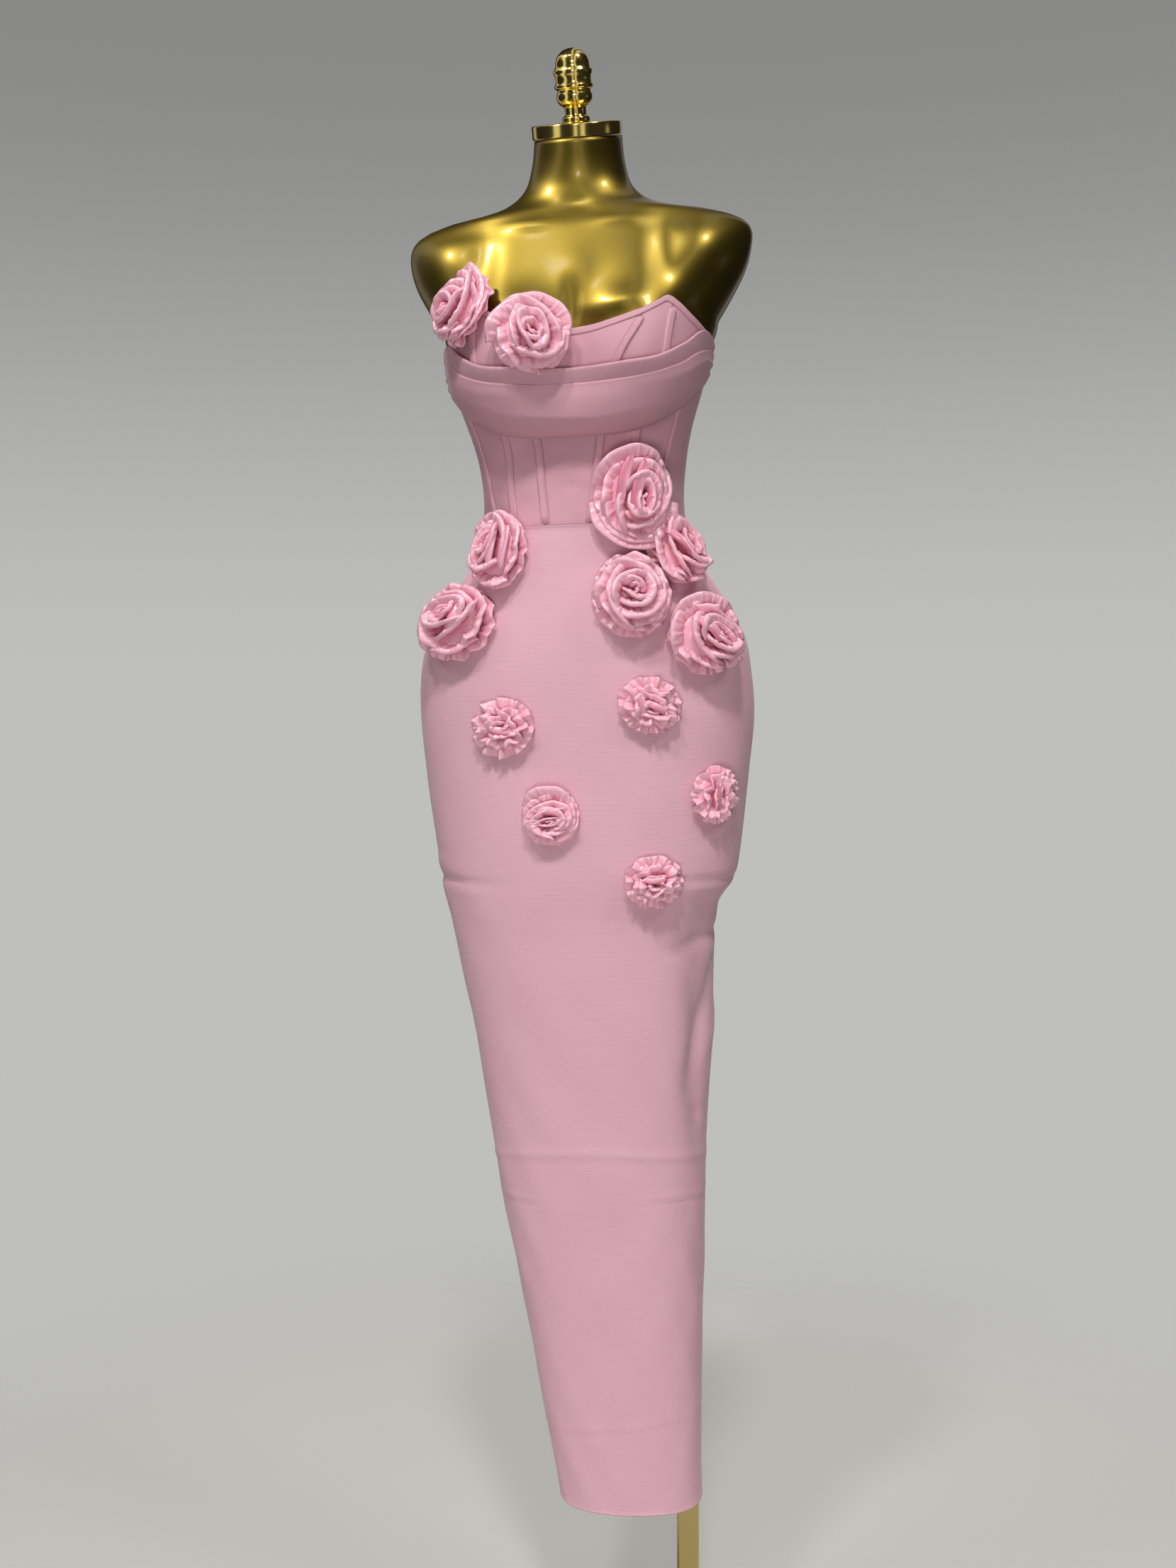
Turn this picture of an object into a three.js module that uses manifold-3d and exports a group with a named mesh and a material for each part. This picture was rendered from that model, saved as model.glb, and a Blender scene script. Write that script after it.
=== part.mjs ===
// A strapless, ankle-length bodycon dress with a boned bodice, a cowl drape and thirteen
// fabric roses, on a smooth dress form that stands on a square post and a round base.
// Millimetres, +Z up. The front faces -Y and the wearer's left is +X. The origin is on the
// floor, at the centre of the base.
import * as THREE from "three";
import * as BufferGeometryUtils from "three/addons/utils/BufferGeometryUtils.js";
import Module from "manifold-3d";

const rad = THREE.MathUtils.degToRad;
const { lerp, clamp, smoothstep: smooth } = THREE.MathUtils;
const signedPower = (value, power) => Math.sign(value) * Math.abs(value) ** power;

// Cloth
const CLOTH = 1.6; // wall of the dress
const EASE = 2.2; // from the form to the inside of the dress
const SEAM_GAP = 0.3; // between neighbouring pieces
const LAID_GAP = 1.4; // under what lies on a panel
const CHANNEL = { width: 8, thickness: 1.1, waist: 4 };
const BAND = { width: 7, thickness: 1.1 }; // turned edge along the neckline
const COWL_CLOTH = 1.5;

// Heights along the figure
const WAIST_SEAM = 1218;
const FORM_BOTTOM = 864;
const HEM = 204;
const NECK_TOP = 1606;
const HIP_HEIGHT = 1030;
const CHEST_HEIGHT = 1340;
const SHOULDER_LEAN = 0.038; // the wearer's left shoulder stands higher
const SIDE = 90; // side seams, in degrees round from the front
const BACK = 180;

// Bust, as two soft swells on the front of the figure
const BUST = { height: 1372, above: 62, below: 44, apart: 72 };
const FORM_SWELL = { depth: 33, spread: 42 };
const DRESS_SWELL = { depth: 36, spread: 58 };

// Neck cap, finial, post and base
const NECK_TILT = rad(17.5);
const NECK_MIDDLE = { x: -5, y: -12 };
const CAP = { radius: 44.8, thickness: 13, edge: 1 };
const POST = { x: 101, y: 4, width: 23, bevel: 2.5 };
const SOCKET = { radius: 22, height: 12, edge: 2 };
const FLANGE = { radius: 27, height: 6, edge: 1.5 };
const BASE = { radius: 170, thickness: 9, edge: 2 };

// Centre back zip
const ZIP = { width: 6.4, thickness: 1.4, bottom: 1035, gap: 0.6 };
const SLIDER = { width: 8, height: 10, thickness: 3.2, drop: 9 };
const LUG = { width: 1.3, radius: 1.9, reach: 2.6, pin: 0.6 };
const PULL = { width: 4, length: 22, thickness: 1.2, eye: 1.75, hole: 0.9 };

// Outside of the dress, hem to bodice top: reach to the wearer's right and left, and to the
// front and back, of the vertical axis; squareness 2 is an ellipse, more is boxier.
const DRESS_SECTIONS = [
  { z: 160, right: 27, left: 117, front: 51, back: 55, squareness: 2.4 },
  { z: 225, right: 38, left: 116, front: 55, back: 57, squareness: 2.4 },
  { z: 300, right: 51, left: 116, front: 60, back: 60, squareness: 2.5 },
  { z: 380, right: 64, left: 117, front: 66, back: 63, squareness: 2.6 },
  { z: 460, right: 78, left: 119, front: 72, back: 66, squareness: 2.7 },
  { z: 540, right: 93, left: 120, front: 78, back: 69, squareness: 2.7 },
  { z: 620, right: 105, left: 123, front: 84, back: 72, squareness: 2.6 },
  { z: 700, right: 118, left: 129, front: 90, back: 77, squareness: 2.5 },
  { z: 770, right: 132, left: 130, front: 94, back: 82, squareness: 2.4 },
  { z: 812, right: 141, left: 132, front: 96, back: 84, squareness: 2.3 },
  { z: 838, right: 147, left: 135, front: 98, back: 86, squareness: 2.3 },
  { z: 850, right: 150, left: 142, front: 99, back: 88, squareness: 2.3 },
  { z: 862, right: 152, left: 151, front: 100, back: 90, squareness: 2.3 },
  { z: 880, right: 154, left: 155, front: 101, back: 92, squareness: 2.3 },
  { z: 920, right: 160, left: 160, front: 101, back: 97, squareness: 2.25 },
  { z: 975, right: 167, left: 166, front: 101, back: 107, squareness: 2.2 },
  { z: 1030, right: 172, left: 171, front: 101, back: 116, squareness: 2.2 },
  { z: 1075, right: 171, left: 168, front: 100, back: 116, squareness: 2.2 },
  { z: 1110, right: 163, left: 161, front: 97, back: 110, squareness: 2.2 },
  { z: 1150, right: 139, left: 139, front: 92, back: 99, squareness: 2.2 },
  { z: 1190, right: 116, left: 114, front: 87, back: 89, squareness: 2.15 },
  { z: 1218, right: 107, left: 103, front: 84, back: 84, squareness: 2.1 },
  { z: 1245, right: 104, left: 100, front: 82, back: 81, squareness: 2.1 },
  { z: 1280, right: 107, left: 102, front: 84, back: 81, squareness: 2.1 },
  { z: 1315, right: 116, left: 108, front: 89, back: 84, squareness: 2.15 },
  { z: 1350, right: 128, left: 118, front: 93, back: 88, squareness: 2.2 },
  { z: 1385, right: 136, left: 127, front: 95, back: 90, squareness: 2.25 },
  { z: 1420, right: 143, left: 136, front: 95, back: 92, squareness: 2.3 },
  { z: 1455, right: 150, left: 144, front: 92, back: 91, squareness: 2.3 },
];

// The bare form above the dress, in the same columns.
const SHOULDER_SECTIONS = [
  { z: 1420, right: 142, left: 135, front: 92, back: 88, squareness: 2.3 },
  { z: 1445, right: 158, left: 150, front: 87, back: 87, squareness: 2.35 },
  { z: 1468, right: 170, left: 162, front: 80, back: 84, squareness: 2.35 },
  { z: 1490, right: 176, left: 168, front: 72, back: 79, squareness: 2.3 },
  { z: 1508, right: 175, left: 168, front: 65, back: 74, squareness: 2.2 },
  { z: 1518, right: 166, left: 158, front: 60, back: 69, squareness: 2.1 },
  { z: 1525, right: 147, left: 137, front: 57, back: 66, squareness: 2 },
  { z: 1531, right: 112, left: 101, front: 54, back: 62, squareness: 2 },
  { z: 1540, right: 82, left: 72, front: 51, back: 57, squareness: 2 },
  { z: 1556, right: 61, left: 51, front: 49, back: 50, squareness: 2 },
  { z: 1580, right: 52, left: 42, front: 51, back: 41, squareness: 2 },
  { z: NECK_TOP, right: 49, left: 39, front: 56, back: 31, squareness: 2 },
];

// Soft folds of the skirt, where it leaves the form and along its sides, in degrees and mm.
const SKIRT_FOLDS = [
  { angle: 62, z: 700, turn: 14, reach: 85, depth: -9 },
  { angle: 60, z: 812, turn: 16, reach: 26, depth: -5 },
  { angle: 118, z: 720, turn: 16, reach: 90, depth: -6 },
  { angle: -52, z: 848, turn: 18, reach: 10, depth: -2.5 },
  { angle: -118, z: 800, turn: 15, reach: 70, depth: -4 },
  { angle: 180, z: 790, turn: 24, reach: 80, depth: -5 },
];

// Bodice seams: the dress sits a little turned on the form, so the middle line's angle is
// given at each height, with the angles of the three seams out from it on either side.
const BODICE_SEAMS = [
  { z: WAIST_SEAM, middle: -5, inner: 11, centre: 31, outer: 46 },
  { z: 1260, middle: -4.5, inner: 14, centre: 34.5, outer: 55 },
  { z: 1300, middle: -3, inner: 15.5, centre: 34.5, outer: 60.5 },
  { z: 1335, middle: -2, inner: 17, centre: 38, outer: 62.5 },
  { z: 1370, middle: -1, inner: 20, centre: 43, outer: 63.5 },
  { z: 1400, middle: -0.7, inner: 26, centre: 42, outer: 64 },
  { z: 1430, middle: -0.5, inner: 30, centre: 41, outer: 65 },
];

// Top edge of the bodice, by angle either way from the front
const NECKLINE = [
  { angle: 0, z: 1399 },
  { angle: 9, z: 1402 },
  { angle: 25, z: 1413 },
  { angle: 33, z: 1423 },
  { angle: 37, z: 1428 },
  { angle: 43, z: 1423 },
  { angle: 53, z: 1412 },
  { angle: 65, z: 1403 },
  { angle: 78, z: 1397 },
  { angle: 90, z: 1387 },
  { angle: 104, z: 1378 },
  { angle: 130, z: 1373 },
  { angle: 180, z: 1371 },
];

// Cowl drape: edges of its upper and lower folds, and how far they hang off the bodice
const COWL = [
  { angle: 0, top: 1358, fold: 1344, bottom: 1300, proud: 9 },
  { angle: 20, top: 1360, fold: 1345.5, bottom: 1301, proud: 9 },
  { angle: 35, top: 1365, fold: 1351, bottom: 1307, proud: 8 },
  { angle: 50, top: 1382, fold: 1363, bottom: 1319, proud: 5 },
  { angle: 60, top: 1397, fold: 1375, bottom: 1329, proud: 3 },
  { angle: 72, top: 1396, fold: 1383, bottom: 1345, proud: 1 },
  { angle: 84, top: 1388, fold: 1382, bottom: 1358, proud: 0.3 },
];

// Roses: place of the middle on the dress, size across the petals and height off the cloth
const ROSES = [
  { name: "rose_bust_right", angle: -41, z: 1424, radius: 34, height: 34, lift: 3.4 },
  { name: "rose_bust_centre", angle: -14, z: 1390, radius: 31, height: 36, lift: 3.6 },
  { name: "rose_waist_left", angle: 29, z: 1246, radius: 38, height: 36, lift: 4.2 },
  { name: "rose_hip_left_upper", angle: 49, z: 1187, radius: 29, height: 34, lift: 1.6 },
  { name: "rose_hip_left_inner", angle: 19, z: 1146, radius: 36, height: 38, lift: 1 },
  { name: "rose_hip_left_outer", angle: 44.5, z: 1107, radius: 38, height: 38, lift: 1 },
  { name: "rose_hip_right_upper", angle: -37.5, z: 1191, radius: 36, height: 34, lift: 3.8 },
  { name: "rose_hip_right_outer", angle: -46, z: 1121, radius: 38, height: 38, lift: 1 },
  { name: "rose_thigh_right", angle: -23, z: 1020, radius: 34, height: 18, lift: 1 },
  { name: "rose_knee_right", angle: -7.6, z: 935, radius: 30, height: 18, lift: 1 },
  { name: "rose_thigh_left", angle: 21.3, z: 1042, radius: 33, height: 18, lift: 1 },
  { name: "rose_side_left", angle: 50, z: 953, radius: 30, height: 18, lift: 1 },
  { name: "rose_knee_left", angle: 24.2, z: 870, radius: 32, height: 18, lift: 1 },
];

// A smooth value of one column of a table, at a value of its first column.
function columnAt(rows, key, at, by = "z") {
  const last = rows.length - 1;
  let i = 0;
  while (i < last - 1 && at > rows[i + 1][by]) i += 1;
  const slope = (a, b) => (rows[b][key] - rows[a][key]) / (rows[b][by] - rows[a][by]);
  const gap = rows[i + 1][by] - rows[i][by];
  const t = clamp((at - rows[i][by]) / gap, 0, 1);
  const start = slope(Math.max(i - 1, 0), i + 1) * gap;
  const end = slope(i, Math.min(i + 2, last)) * gap;
  const bend = (1 - t) * (1 - t) * t * start - (1 - t) * t * t * end;
  return lerp(rows[i][key], rows[i + 1][key], t * t * (3 - 2 * t)) + bend;
}

const byAngle = (rows, key, angle) =>
  columnAt(rows, key, Math.abs(THREE.MathUtils.radToDeg(angle)), "angle");

// A point on a section: angle 0 is the front and 90 degrees the wearer's left.
function onSection(rows, z, angle, out) {
  const at = (key) => columnAt(rows, key, z);
  const power = 2 / at("squareness");
  const middle = (at("left") - at("right")) / 2;
  const across = (at("left") + at("right")) / 2 + out;
  const deep = (Math.cos(angle) > 0 ? at("front") : at("back")) + out;
  return {
    x: middle + across * signedPower(Math.sin(angle), power),
    y: -deep * signedPower(Math.cos(angle), power),
  };
}

function bustSwell(swell, x, angle, z) {
  const reach = z > BUST.height ? BUST.above : BUST.below;
  const fade = Math.exp(-(((z - BUST.height) / reach) ** 2));
  const lobe = (centre) => Math.exp(-(((x - centre) / swell.spread) ** 2));
  const front = smooth(Math.cos(angle), 0.05, 0.55);
  const both = Math.min(1, lobe(-BUST.apart - 4) + lobe(BUST.apart - 4));
  return swell.depth * fade * front * both;
}

// The upper body leans a little.
function settled(x, y, z) {
  return new THREE.Vector3(x, y, z + x * SHOULDER_LEAN * smooth(z, HIP_HEIGHT, CHEST_HEIGHT));
}

function foldDepth(angle, z) {
  const degrees = THREE.MathUtils.radToDeg(angle);
  let depth = 0;
  for (const fold of SKIRT_FOLDS) {
    const turned = Math.abs(degrees - fold.angle);
    const round = Math.min(turned, 360 - turned) / fold.turn;
    depth += fold.depth * Math.exp(-(round ** 2) - ((z - fold.z) / fold.reach) ** 2);
  }
  return depth;
}

function dressPoint(angle, z, out) {
  const below = smooth(FORM_BOTTOM - z, -4, 24);
  const p = onSection(DRESS_SECTIONS, z, angle, out + foldDepth(angle, z) * below);
  return settled(p.x, p.y - bustSwell(DRESS_SWELL, p.x, angle, z), z);
}

// The form's skin: inside the dress by the cloth and its ease, then the bare shoulders.
const FORM_JOIN = { low: 1385, high: 1425 };
const NECK_BEND = 1545; // where the neck starts to tilt
function formPoint(angle, z) {
  const covered = onSection(DRESS_SECTIONS, Math.min(z, 1455), angle, -CLOTH - EASE);
  const bare = onSection(SHOULDER_SECTIONS, Math.max(z, 1420), angle, 0);
  const share = smooth(z, FORM_JOIN.low, FORM_JOIN.high);
  const x = lerp(covered.x, bare.x, share);
  const y = lerp(covered.y, bare.y, share) - bustSwell(FORM_SWELL, x, angle, z);
  const tilt = Math.tan(NECK_TILT) * smooth(z, NECK_BEND, NECK_TOP);
  return settled(x, y, z + (y - NECK_MIDDLE.y) * tilt);
}

const seamAngle = (side, seam, z) =>
  rad(columnAt(BODICE_SEAMS, "middle", z) + side * columnAt(BODICE_SEAMS, seam, z));
const necklineAt = (angle) => byAngle(NECKLINE, "z", angle);

// A point on the dress beside a place on it, measured along the cloth's tangent plane, with
// the plane's own point there.
function beside(place, across, up) {
  const step = 1e-3;
  const at = (angle, z) => dressPoint(angle, z, 0);
  const middle = at(place.angle, place.z);
  const alongAngle = at(place.angle + step, place.z).sub(middle).divideScalar(step);
  const alongHeight = at(place.angle, place.z + 1).sub(middle);
  const u = alongAngle.clone().normalize();
  const v = alongHeight.clone().addScaledVector(u, -alongHeight.dot(u)).normalize();
  const n = u.clone().cross(v);
  let { angle, z } = place;
  for (let round = 0; round < 12; round += 1) {
    const off = at(angle, z).sub(middle);
    angle += (0.7 * (across - off.dot(u))) / alongAngle.length();
    z += 0.7 * (up - off.dot(v));
  }
  const plane = middle.clone().addScaledVector(u, across).addScaledVector(v, up);
  return { cloth: at(angle, z), plane, n };
}

// Turns a closed surface to face outwards.
function facingOut(points, faces) {
  let volume = 0;
  for (const [a, b, c] of faces) {
    volume += points[a].dot(points[b].clone().cross(points[c]));
  }
  const turned = volume < 0 ? faces.map(([a, b, c]) => [a, c, b]) : faces;
  const geometry = new THREE.BufferGeometry().setFromPoints(points);
  geometry.setIndex(turned.flat());
  geometry.computeVertexNormals();
  return geometry;
}

// A wall between two grids of points of the same size, outer and inner, closed at its edges.
function wall(outer, inner) {
  const rows = outer.length;
  const columns = outer[0].length;
  const points = [...outer.flat(), ...inner.flat()];
  const faces = [];
  const at = (side, j, i) => (side * rows + j) * columns + i;
  const quad = (a, b, c, d) => faces.push([a, b, c], [a, c, d]);
  for (let j = 0; j < rows - 1; j += 1) {
    for (let i = 0; i < columns - 1; i += 1) {
      quad(at(0, j, i), at(0, j, i + 1), at(0, j + 1, i + 1), at(0, j + 1, i));
      quad(at(1, j, i), at(1, j + 1, i), at(1, j + 1, i + 1), at(1, j, i + 1));
    }
    const end = columns - 1;
    quad(at(0, j, 0), at(0, j + 1, 0), at(1, j + 1, 0), at(1, j, 0));
    quad(at(0, j, end), at(1, j, end), at(1, j + 1, end), at(0, j + 1, end));
  }
  for (let i = 0; i < columns - 1; i += 1) {
    const top = rows - 1;
    quad(at(0, 0, i), at(1, 0, i), at(1, 0, i + 1), at(0, 0, i + 1));
    quad(at(0, top, i), at(0, top, i + 1), at(1, top, i + 1), at(1, top, i));
  }
  return facingOut(points, faces);
}

// A solid through closed rings of points, capped flat at both ends.
function loft(rings) {
  const points = rings.flat();
  const faces = [];
  const n = rings[0].length;
  for (let j = 0; j < rings.length - 1; j += 1) {
    for (let i = 0; i < n; i += 1) {
      const a = j * n + i;
      const b = j * n + ((i + 1) % n);
      faces.push([a, b, b + n], [a, b + n, a + n]);
    }
  }
  for (const ring of [0, rings.length - 1]) {
    const middle = new THREE.Vector3();
    rings[ring].forEach((p) => middle.add(p));
    const centre = points.push(middle.divideScalar(n)) - 1;
    for (let i = 0; i < n; i += 1) {
      const a = ring * n + i;
      const b = ring * n + ((i + 1) % n);
      faces.push(ring ? [a, b, centre] : [b, a, centre]);
    }
  }
  return facingOut(points, faces);
}

const group = new THREE.Group();
function finish(color, roughness, metalness) {
  return new THREE.MeshStandardMaterial({ color, roughness, metalness });
}
const knit = finish(0xd9a4b4, 0.85, 0);
const crepe = finish(0xd8a0b2, 0.7, 0);
const satin = finish(0xf0b4c4, 0.4, 0);
const goldPaint = finish(0x9a7a2a, 0.3, 0.8);
const goldPlate = finish(0xd4b244, 0.1, 1);
const postPaint = finish(0xb39a5a, 0.4, 0.7);

function add(name, geometry, material, parent = group) {
  const mesh = new THREE.Mesh(geometry, material);
  mesh.name = name;
  parent.add(mesh);
  return mesh;
}

// A round piece on the Z axis, from pairs of radius and height.
function turned(profile, sides) {
  const points = profile.map(([radius, height]) => new THREE.Vector2(radius, height));
  return new THREE.LatheGeometry(points, sides).rotateX(Math.PI / 2);
}

function disc(radius, height, edge, sides) {
  const profile = [
    [0, 0],
    [radius, 0],
    [radius, height - edge],
    [radius - edge, height],
    [0, height],
  ];
  return turned(profile, sides);
}

// Dress form, with a small rounding at its lower rim
const FORM_SIDES = 36;
const FORM_HEIGHTS = [
  FORM_BOTTOM, 868, 920, 975, 1030, 1075, 1110, 1150, 1190, 1218, 1238, 1258, 1280, 1302,
  1324, 1345, 1360, 1375, 1395, 1412, 1430, 1450, 1470, 1490, 1504, 1513, 1519, 1525, 1529,
  1534, 1542, 1556, 1580, NECK_TOP,
];
const RIM = 0.97;
function formRing(z) {
  const ring = [];
  const share = z === FORM_BOTTOM ? RIM : 1;
  for (let i = 0; i < FORM_SIDES; i += 1) {
    const p = formPoint((i / FORM_SIDES) * 2 * Math.PI - Math.PI, z);
    ring.push(new THREE.Vector3(p.x * share, p.y * share, p.z));
  }
  return ring;
}
add("dress_form", loft(FORM_HEIGHTS.map(formRing)), goldPaint);

// Neck cap and finial, square to the tilted neck
const neck = new THREE.Group();
neck.position.set(NECK_MIDDLE.x, NECK_MIDDLE.y, NECK_TOP + SEAM_GAP);
neck.rotation.set(NECK_TILT, -SHOULDER_LEAN, 0);
group.add(neck);
const CAP_PROFILE = [
  [0, 0],
  [CAP.radius - CAP.edge, 0],
  [CAP.radius, CAP.edge],
  [CAP.radius, CAP.thickness - CAP.edge],
  [CAP.radius - CAP.edge, CAP.thickness],
  [0, CAP.thickness],
];
add("neck_cap", turned(CAP_PROFILE, 48), goldPlate, neck);
const FINIAL_PROFILE = [
  [0, 0],
  [14, 0],
  [14, 5.6],
  [10.8, 7],
  [10.8, 15],
  [15, 17],
  [18, 21.5],
  [18, 26],
  [16, 30],
  [20, 32.7],
  [17.6, 37.4],
  [17.6, 42],
  [20, 47],
  [17, 51.5],
  [16.8, 56],
  [14.6, 61.6],
  [9.5, 66.4],
  [4, 68.2],
  [0, 68.6],
];
const finial = add("finial", turned(FINIAL_PROFILE, 24), goldPlate, neck);
finial.position.z = CAP.thickness + SEAM_GAP;

// Base, flange, post and socket
add("stand_base", disc(BASE.radius, BASE.thickness, BASE.edge, 40), postPaint);
const flangeFoot = BASE.thickness + SEAM_GAP;
const flange = add("post_flange", disc(FLANGE.radius, FLANGE.height, FLANGE.edge, 24), postPaint);
flange.position.set(POST.x, POST.y, flangeFoot);
const socketFoot = FORM_BOTTOM - SEAM_GAP - SOCKET.height;
const socket = add("form_socket", disc(SOCKET.radius, SOCKET.height, SOCKET.edge, 24), postPaint);
socket.position.set(POST.x, POST.y, socketFoot);

const half = POST.width / 2;
const flat = half - POST.bevel;
const postCorners = [
  [flat, -half], [half, -flat], [half, flat], [flat, half],
  [-flat, half], [-half, flat], [-half, -flat], [-flat, -half],
];
const postShape = new THREE.Shape(postCorners.map(([x, y]) => new THREE.Vector2(x, y)));
const postFoot = flangeFoot + FLANGE.height + SEAM_GAP;
const postLength = socketFoot - SEAM_GAP - postFoot;
const postBar = new THREE.ExtrudeGeometry(postShape, { depth: postLength, bevelEnabled: false });
add("stand_post", postBar, postPaint).position.set(POST.x, POST.y, postFoot);

// A panel of the dress between two lines that run up it and two that run round it, drawn in
// by half a seam gap at each edge that is sewn.
function panelGrid(panel, out) {
  const grid = [];
  for (let j = 0; j <= panel.rows; j += 1) {
    const row = [];
    for (let i = 0; i <= panel.columns; i += 1) {
      let z = panel.heights ? panel.heights[j] : panel.low;
      let angle = 0;
      for (let round = 0; round < 4; round += 1) {
        angle = lerp(panel.from(z), panel.to(z), i / panel.columns);
        if (!panel.heights) z = lerp(panel.low, panel.top(angle), j / panel.rows);
      }
      row.push(dressPoint(angle, z, out));
    }
    const end = panel.columns;
    const inwards = (from, to) => row[to].clone().sub(row[from]).setLength(SEAM_GAP / 2);
    const shifts = [inwards(0, 1), inwards(end, end - 1)];
    row[0].add(shifts[0]);
    row[end].add(shifts[1]);
    grid.push(row);
  }
  return grid;
}

function addPanel(name, panel, material) {
  const shape = { ...panel, rows: panel.heights ? panel.heights.length - 1 : panel.rows };
  add(name, wall(panelGrid(shape, 0), panelGrid(shape, -CLOTH)), material);
}

// Skirt: one front, and two backs that meet at the zip
const SKIRT_HEIGHTS = [
  HEM, 250, 310, 380, 460, 540, 620, 680, 725, 770, 808, 832, 848, 860, 876, 920, 975, 1030,
  1075, 1110, 1150, 1190, WAIST_SEAM - SEAM_GAP / 2,
];
const SKIRT = [
  { name: "skirt_front", from: -SIDE, to: SIDE, columns: 18 },
  { name: "skirt_back_left", from: SIDE, to: BACK, columns: 9 },
  { name: "skirt_back_right", from: -BACK, to: -SIDE, columns: 9 },
];
for (const { name, from, to, columns } of SKIRT) {
  const panel = { from: () => rad(from), to: () => rad(to), columns, heights: SKIRT_HEIGHTS };
  addPanel(name, panel, knit);
}

// Bodice: panels from the waist seam to the neckline, between the boned seams
const BODICE_ROWS = 9;
const BODICE_FOOT = WAIST_SEAM + SEAM_GAP / 2;
const fixed = (degrees) => () => rad(degrees);
const seamLine = (side, seam) => (z) => seamAngle(side, seam, z);
const HALF_BODICE = [
  { name: "bodice_side_front", inner: "inner", outer: "centre", columns: 3 },
  { name: "bodice_side", inner: "centre", outer: "outer", columns: 3 },
  { name: "bodice_underarm", inner: "outer", outer: SIDE, columns: 3 },
  { name: "bodice_back", inner: SIDE, outer: BACK, columns: 8 },
];
function addBodicePanel(name, from, to, columns) {
  const panel = { from, to, columns, rows: BODICE_ROWS, low: BODICE_FOOT, top: necklineAt };
  addPanel(name, panel, crepe);
}
addBodicePanel("bodice_centre_front", seamLine(-1, "inner"), seamLine(1, "inner"), 8);
for (const [side, word] of [[1, "left"], [-1, "right"]]) {
  const line = (seam) => (typeof seam === "number" ? fixed(side * seam) : seamLine(side, seam));
  for (const { name, inner, outer, columns } of HALF_BODICE) {
    addBodicePanel(`${name}_${word}`, line(inner), line(outer), columns);
  }
}

// Boning channels over the front seams, from just above the waist to the neckline's edge
function strip(points, out, thickness) {
  const moved = (lift) => points.map((row) => row.map((p) => dressPoint(p.angle, p.z, lift)));
  return wall(moved(out + thickness), moved(out));
}
const CHANNEL_ROWS = 10;
for (const [side, word] of [[1, "left"], [-1, "right"]]) {
  for (const seam of ["inner", "centre", "outer"]) {
    const rows = [];
    const top = necklineAt(seamAngle(side, seam, 1410)) - BAND.width - 3;
    for (let j = 0; j <= CHANNEL_ROWS; j += 1) {
      const z = lerp(WAIST_SEAM + CHANNEL.waist, top, j / CHANNEL_ROWS);
      const angle = seamAngle(side, seam, z);
      const reach = dressPoint(angle + 0.01, z, 0).distanceTo(dressPoint(angle, z, 0)) / 0.01;
      const halfTurn = CHANNEL.width / 2 / reach;
      rows.push([-halfTurn, 0, halfTurn].map((turn) => ({ angle: angle + turn, z })));
    }
    add(`channel_${seam}_${word}`, strip(rows, LAID_GAP, CHANNEL.thickness), crepe);
  }
}

// Turned edge along the neckline, all round to the zip
const BAND_ANGLES = [
  -179, -165, -150, -135, -120, -105, -90, -80, -70, -60, -52, -45, -41, -37, -33, -28, -22,
  -16, -9, -4, 0, 4, 9, 16, 22, 28, 33, 37, 41, 45, 52, 60, 70, 80, 90, 105, 120, 135, 150,
  165, 179,
];
const bandRows = [BAND.width, 0].map((drop) =>
  BAND_ANGLES.map((degrees) => {
    const angle = rad(degrees);
    return { angle, z: necklineAt(angle) - drop };
  }),
);
add("neckline_band", strip(bandRows, LAID_GAP, BAND.thickness), crepe);

// Cowl drape: an upper fold behind a lower one, both sewn in at the sides
const COWL_SPAN = 84;
const COWL_COLUMNS = 20;
const COWL_OFF = 2.9; // clear of the channels and the neckline's edge
const COWL_FOLDS = [
  { name: "cowl_upper_fold", high: "top", low: "fold", drop: 5, off: [0, 0.3, 0.2], rows: 2 },
  { name: "cowl_lower_fold", high: "fold", low: "bottom", drop: 0, off: [2.2, 1.8, 0.4], rows: 4 },
];
function cowlGrid(fold, inner) {
  const grid = [];
  for (let j = 0; j <= fold.rows; j += 1) {
    const row = [];
    for (let i = 0; i <= COWL_COLUMNS; i += 1) {
      const angle = rad(lerp(-COWL_SPAN, COWL_SPAN, i / COWL_COLUMNS));
      const up = j / fold.rows;
      const low = byAngle(COWL, fold.low, angle) - fold.drop;
      const z = lerp(low, byAngle(COWL, fold.high, angle), up);
      const proud = byAngle(COWL, "proud", angle);
      const slack = lerp(fold.off[2], fold.off[0], up) + fold.off[1] * Math.sin(up * Math.PI);
      const off = COWL_OFF + slack + proud * lerp(0.35, 1, up ** 0.7);
      row.push(dressPoint(angle, z, inner ? off : off + COWL_CLOTH));
    }
    grid.push(row);
  }
  return grid;
}
for (const fold of COWL_FOLDS) {
  add(fold.name, wall(cowlGrid(fold, false), cowlGrid(fold, true)), crepe);
}

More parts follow.
